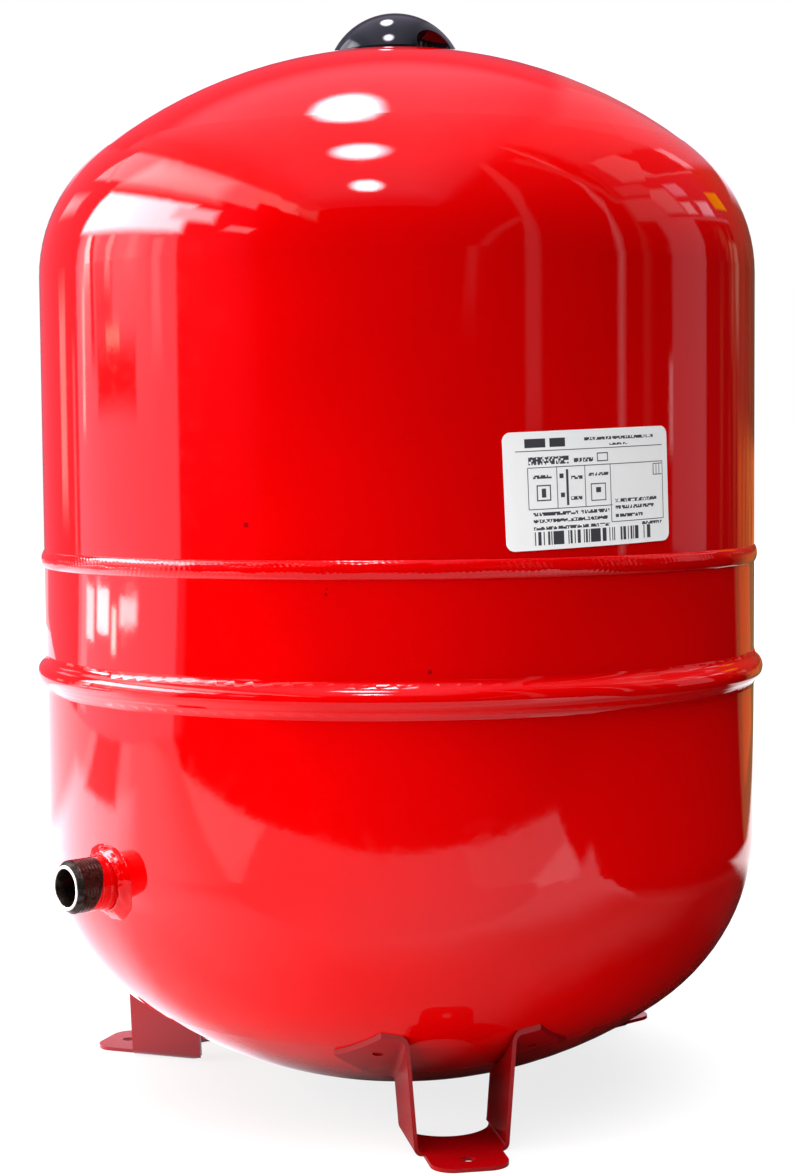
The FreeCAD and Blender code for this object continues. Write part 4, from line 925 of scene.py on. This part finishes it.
metal = blend(tree, face, metal, FACED_STEEL)
painted = shader.inputs["Base Color"].links[0].from_socket
plug(tree, shader, "Base Color", blend(tree, bare, painted, metal))
plug(tree, shader, "Metallic", calc(tree, "MULTIPLY", bare, 0.9))
smooth = shader.inputs["Roughness"].links[0].from_socket
rough = ramp(tree, noise, 0.3, 0.7, 0.26, 0.42)
plug(tree, shader, "Roughness", add(
    tree, "ShaderNodeMix", i0=bare, i2=smooth, i3=rough).outputs[0])
grow("threaded_pipe", pipe_outline, thread_tree, "tank", "water_connection", Steps=120,
     Material=pipe_skin, Axis_Height=PIPE_AXIS, Pitch=PITCH * MM, Depth=0.15 * MM)

# %% [markdown]
# ## Label
#
# A white film with a printed table. The print is generic: bars stand for words and a few boxes and
# strokes for signs, so nothing on it can be read. The film lies on a cylinder, so the print is laid
# out in millimetres along the arc and up the tank, turned by the label's slight tilt. Each bar,
# line and box is one soft box, a row of the table. Small print and the bar code are soft boxes too,
# broken into cells of which chance leaves some bare.

# %% Label material
LABEL_BEARING = math.radians(-11.9)
LABEL_TILT = math.radians(2.2)
WHITE_FILM, GREY_FILM = (0.97, 0.97, 0.98, 1.0), (0.94, 0.94, 0.95, 1.0)
INK = (0.05, 0.05, 0.06, 1.0)
PRINT_SOFTNESS = 0.15
label_low, label_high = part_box("rating_label")
label_film, tree, shader, position = new_material("label_film")
spot = parts(tree, position)
bearing = calc(tree, "ARCTAN2", spot[1], spot[0])
arc = calc(tree, "MULTIPLY", calc(tree, "SUBTRACT", bearing, LABEL_BEARING), SEAM_RADIUS)
rise = calc(tree, "SUBTRACT", calc(tree, "DIVIDE", spot[2], MM),
            (label_low.z + label_high.z) / 2 / MM)
sheet = add(tree, "ShaderNodeVectorRotate", {"rotation_type": "Z_AXIS"},
            Vector=joined(tree, arc, rise), Angle=-LABEL_TILT).outputs[0]
cloud = add(tree, "ShaderNodeTexNoise", Vector=position, Scale=60.0, Detail=2.0)
LINES = [
    # left, right, bottom, top in millimetres from the label's centre
    (-39.9, 42.2, 18.1, 18.5), (-35.3, -24.9, 19.8, 23.9), (-22.8, -14.8, 19.8, 23.9),
    (-34.2, 10.0, -8.7, -8.3), (-34.2, 42.2, 10.4, 10.8), (-34.4, -34.0, -8.5, 10.6),
    (-19.8, -19.4, -8.5, 10.6), (-5.0, -4.6, -8.5, 10.6), (9.2, 9.6, -16.4, 10.6),
    (42.0, 42.4, -16.4, 10.6), (9.4, 42.2, -16.6, -16.2), (-14.9, -13.7, -7.3, 9.3),
    (-18.3, -16.2, 5.3, 7.4), (-17.9, -15.8, -3.5, -1.4), (-30.1, -22.9, 2.0, 2.6),
    (-30.1, -22.9, -4.8, -4.2), (-30.1, -29.5, -4.8, 2.6), (-23.5, -22.9, -4.8, 2.6),
    (-27.6, -25.4, -3.2, 0.9), (-1.8, 6.6, 1.6, 2.1), (-1.8, 6.6, -6.1, -5.6),
    (-1.8, -1.3, -6.1, 2.1), (6.1, 6.6, -6.1, 2.1), (1.0, 3.8, -2.2, 0.2),
    (2.1, 8.3, 15.7, 16.2), (2.1, 8.3, 12.1, 12.6), (2.1, 2.6, 12.1, 16.2),
    (7.8, 8.3, 12.1, 16.2), (35.8, 36.3, 4.3, 9.8), (37.8, 38.2, 4.3, 9.8),
    (39.8, 40.2, 4.3, 9.8), (35.8, 41.8, 9.4, 9.8), (35.8, 41.8, 4.3, 4.7),
]
BROKEN_ROWS = [
    (-4.6, 36.4, 22.1, 23.5), (9.4, 20.5, 19.4, 20.4), (-33.7, -13.2, 11.9, 15.5),
    (-10.5, -0.1, 12.3, 14.2), (-31.7, -22.3, 5.5, 7.1), (-12.2, -6.2, 4.5, 6.1),
    (-12.7, -6.7, -5.0, -3.4), (-2.9, 8.3, 5.6, 7.0), (-32.2, 8.2, -11.6, -10.0),
    (-32.2, 7.0, -14.8, -13.2), (-32.2, 8.3, -18.1, -16.6), (11.7, 37.7, -7.4, -5.8),
    (11.7, 35.8, -10.6, -9.0), (11.7, 28.3, -14.4, -12.9), (27.7, 40.9, -18.7, -17.3),
]
BAR_CODE = (-33.7, 33.9, -25.1, -18.9)


def speckled(step_x, step_y, share):
    """Print in cells of a given size: chance decides which share of them is inked."""
    cell = vector(tree, "FLOOR", vector(tree, "DIVIDE", sheet, (step_x, step_y, NOWHERE)))
    chance = add(tree, "ShaderNodeTexWhiteNoise", Vector=cell).outputs["Value"]
    return calc(tree, "LESS_THAN", chance, share)


def printed(boxes):
    """One mask for several boxes of print."""
    return total(tree, "MAXIMUM", *(box_mask(tree, sheet, *box, PRINT_SOFTNESS) for box in boxes))


film = blend(tree, cloud, WHITE_FILM, GREY_FILM)
ink = total(tree, "MAXIMUM", printed(LINES),
            calc(tree, "MULTIPLY", printed(BROKEN_ROWS), speckled(0.62, 0.9, 0.70)),
            calc(tree, "MULTIPLY", printed([BAR_CODE]), speckled(0.55, NOWHERE, 0.55)))
plug(tree, shader, "Base Color", blend(tree, ink, film, INK))
plug(tree, shader, "Roughness", ramp(tree, cloud, 0.3, 0.7, 0.30, 0.40))
dress(label_film, "rating_label")
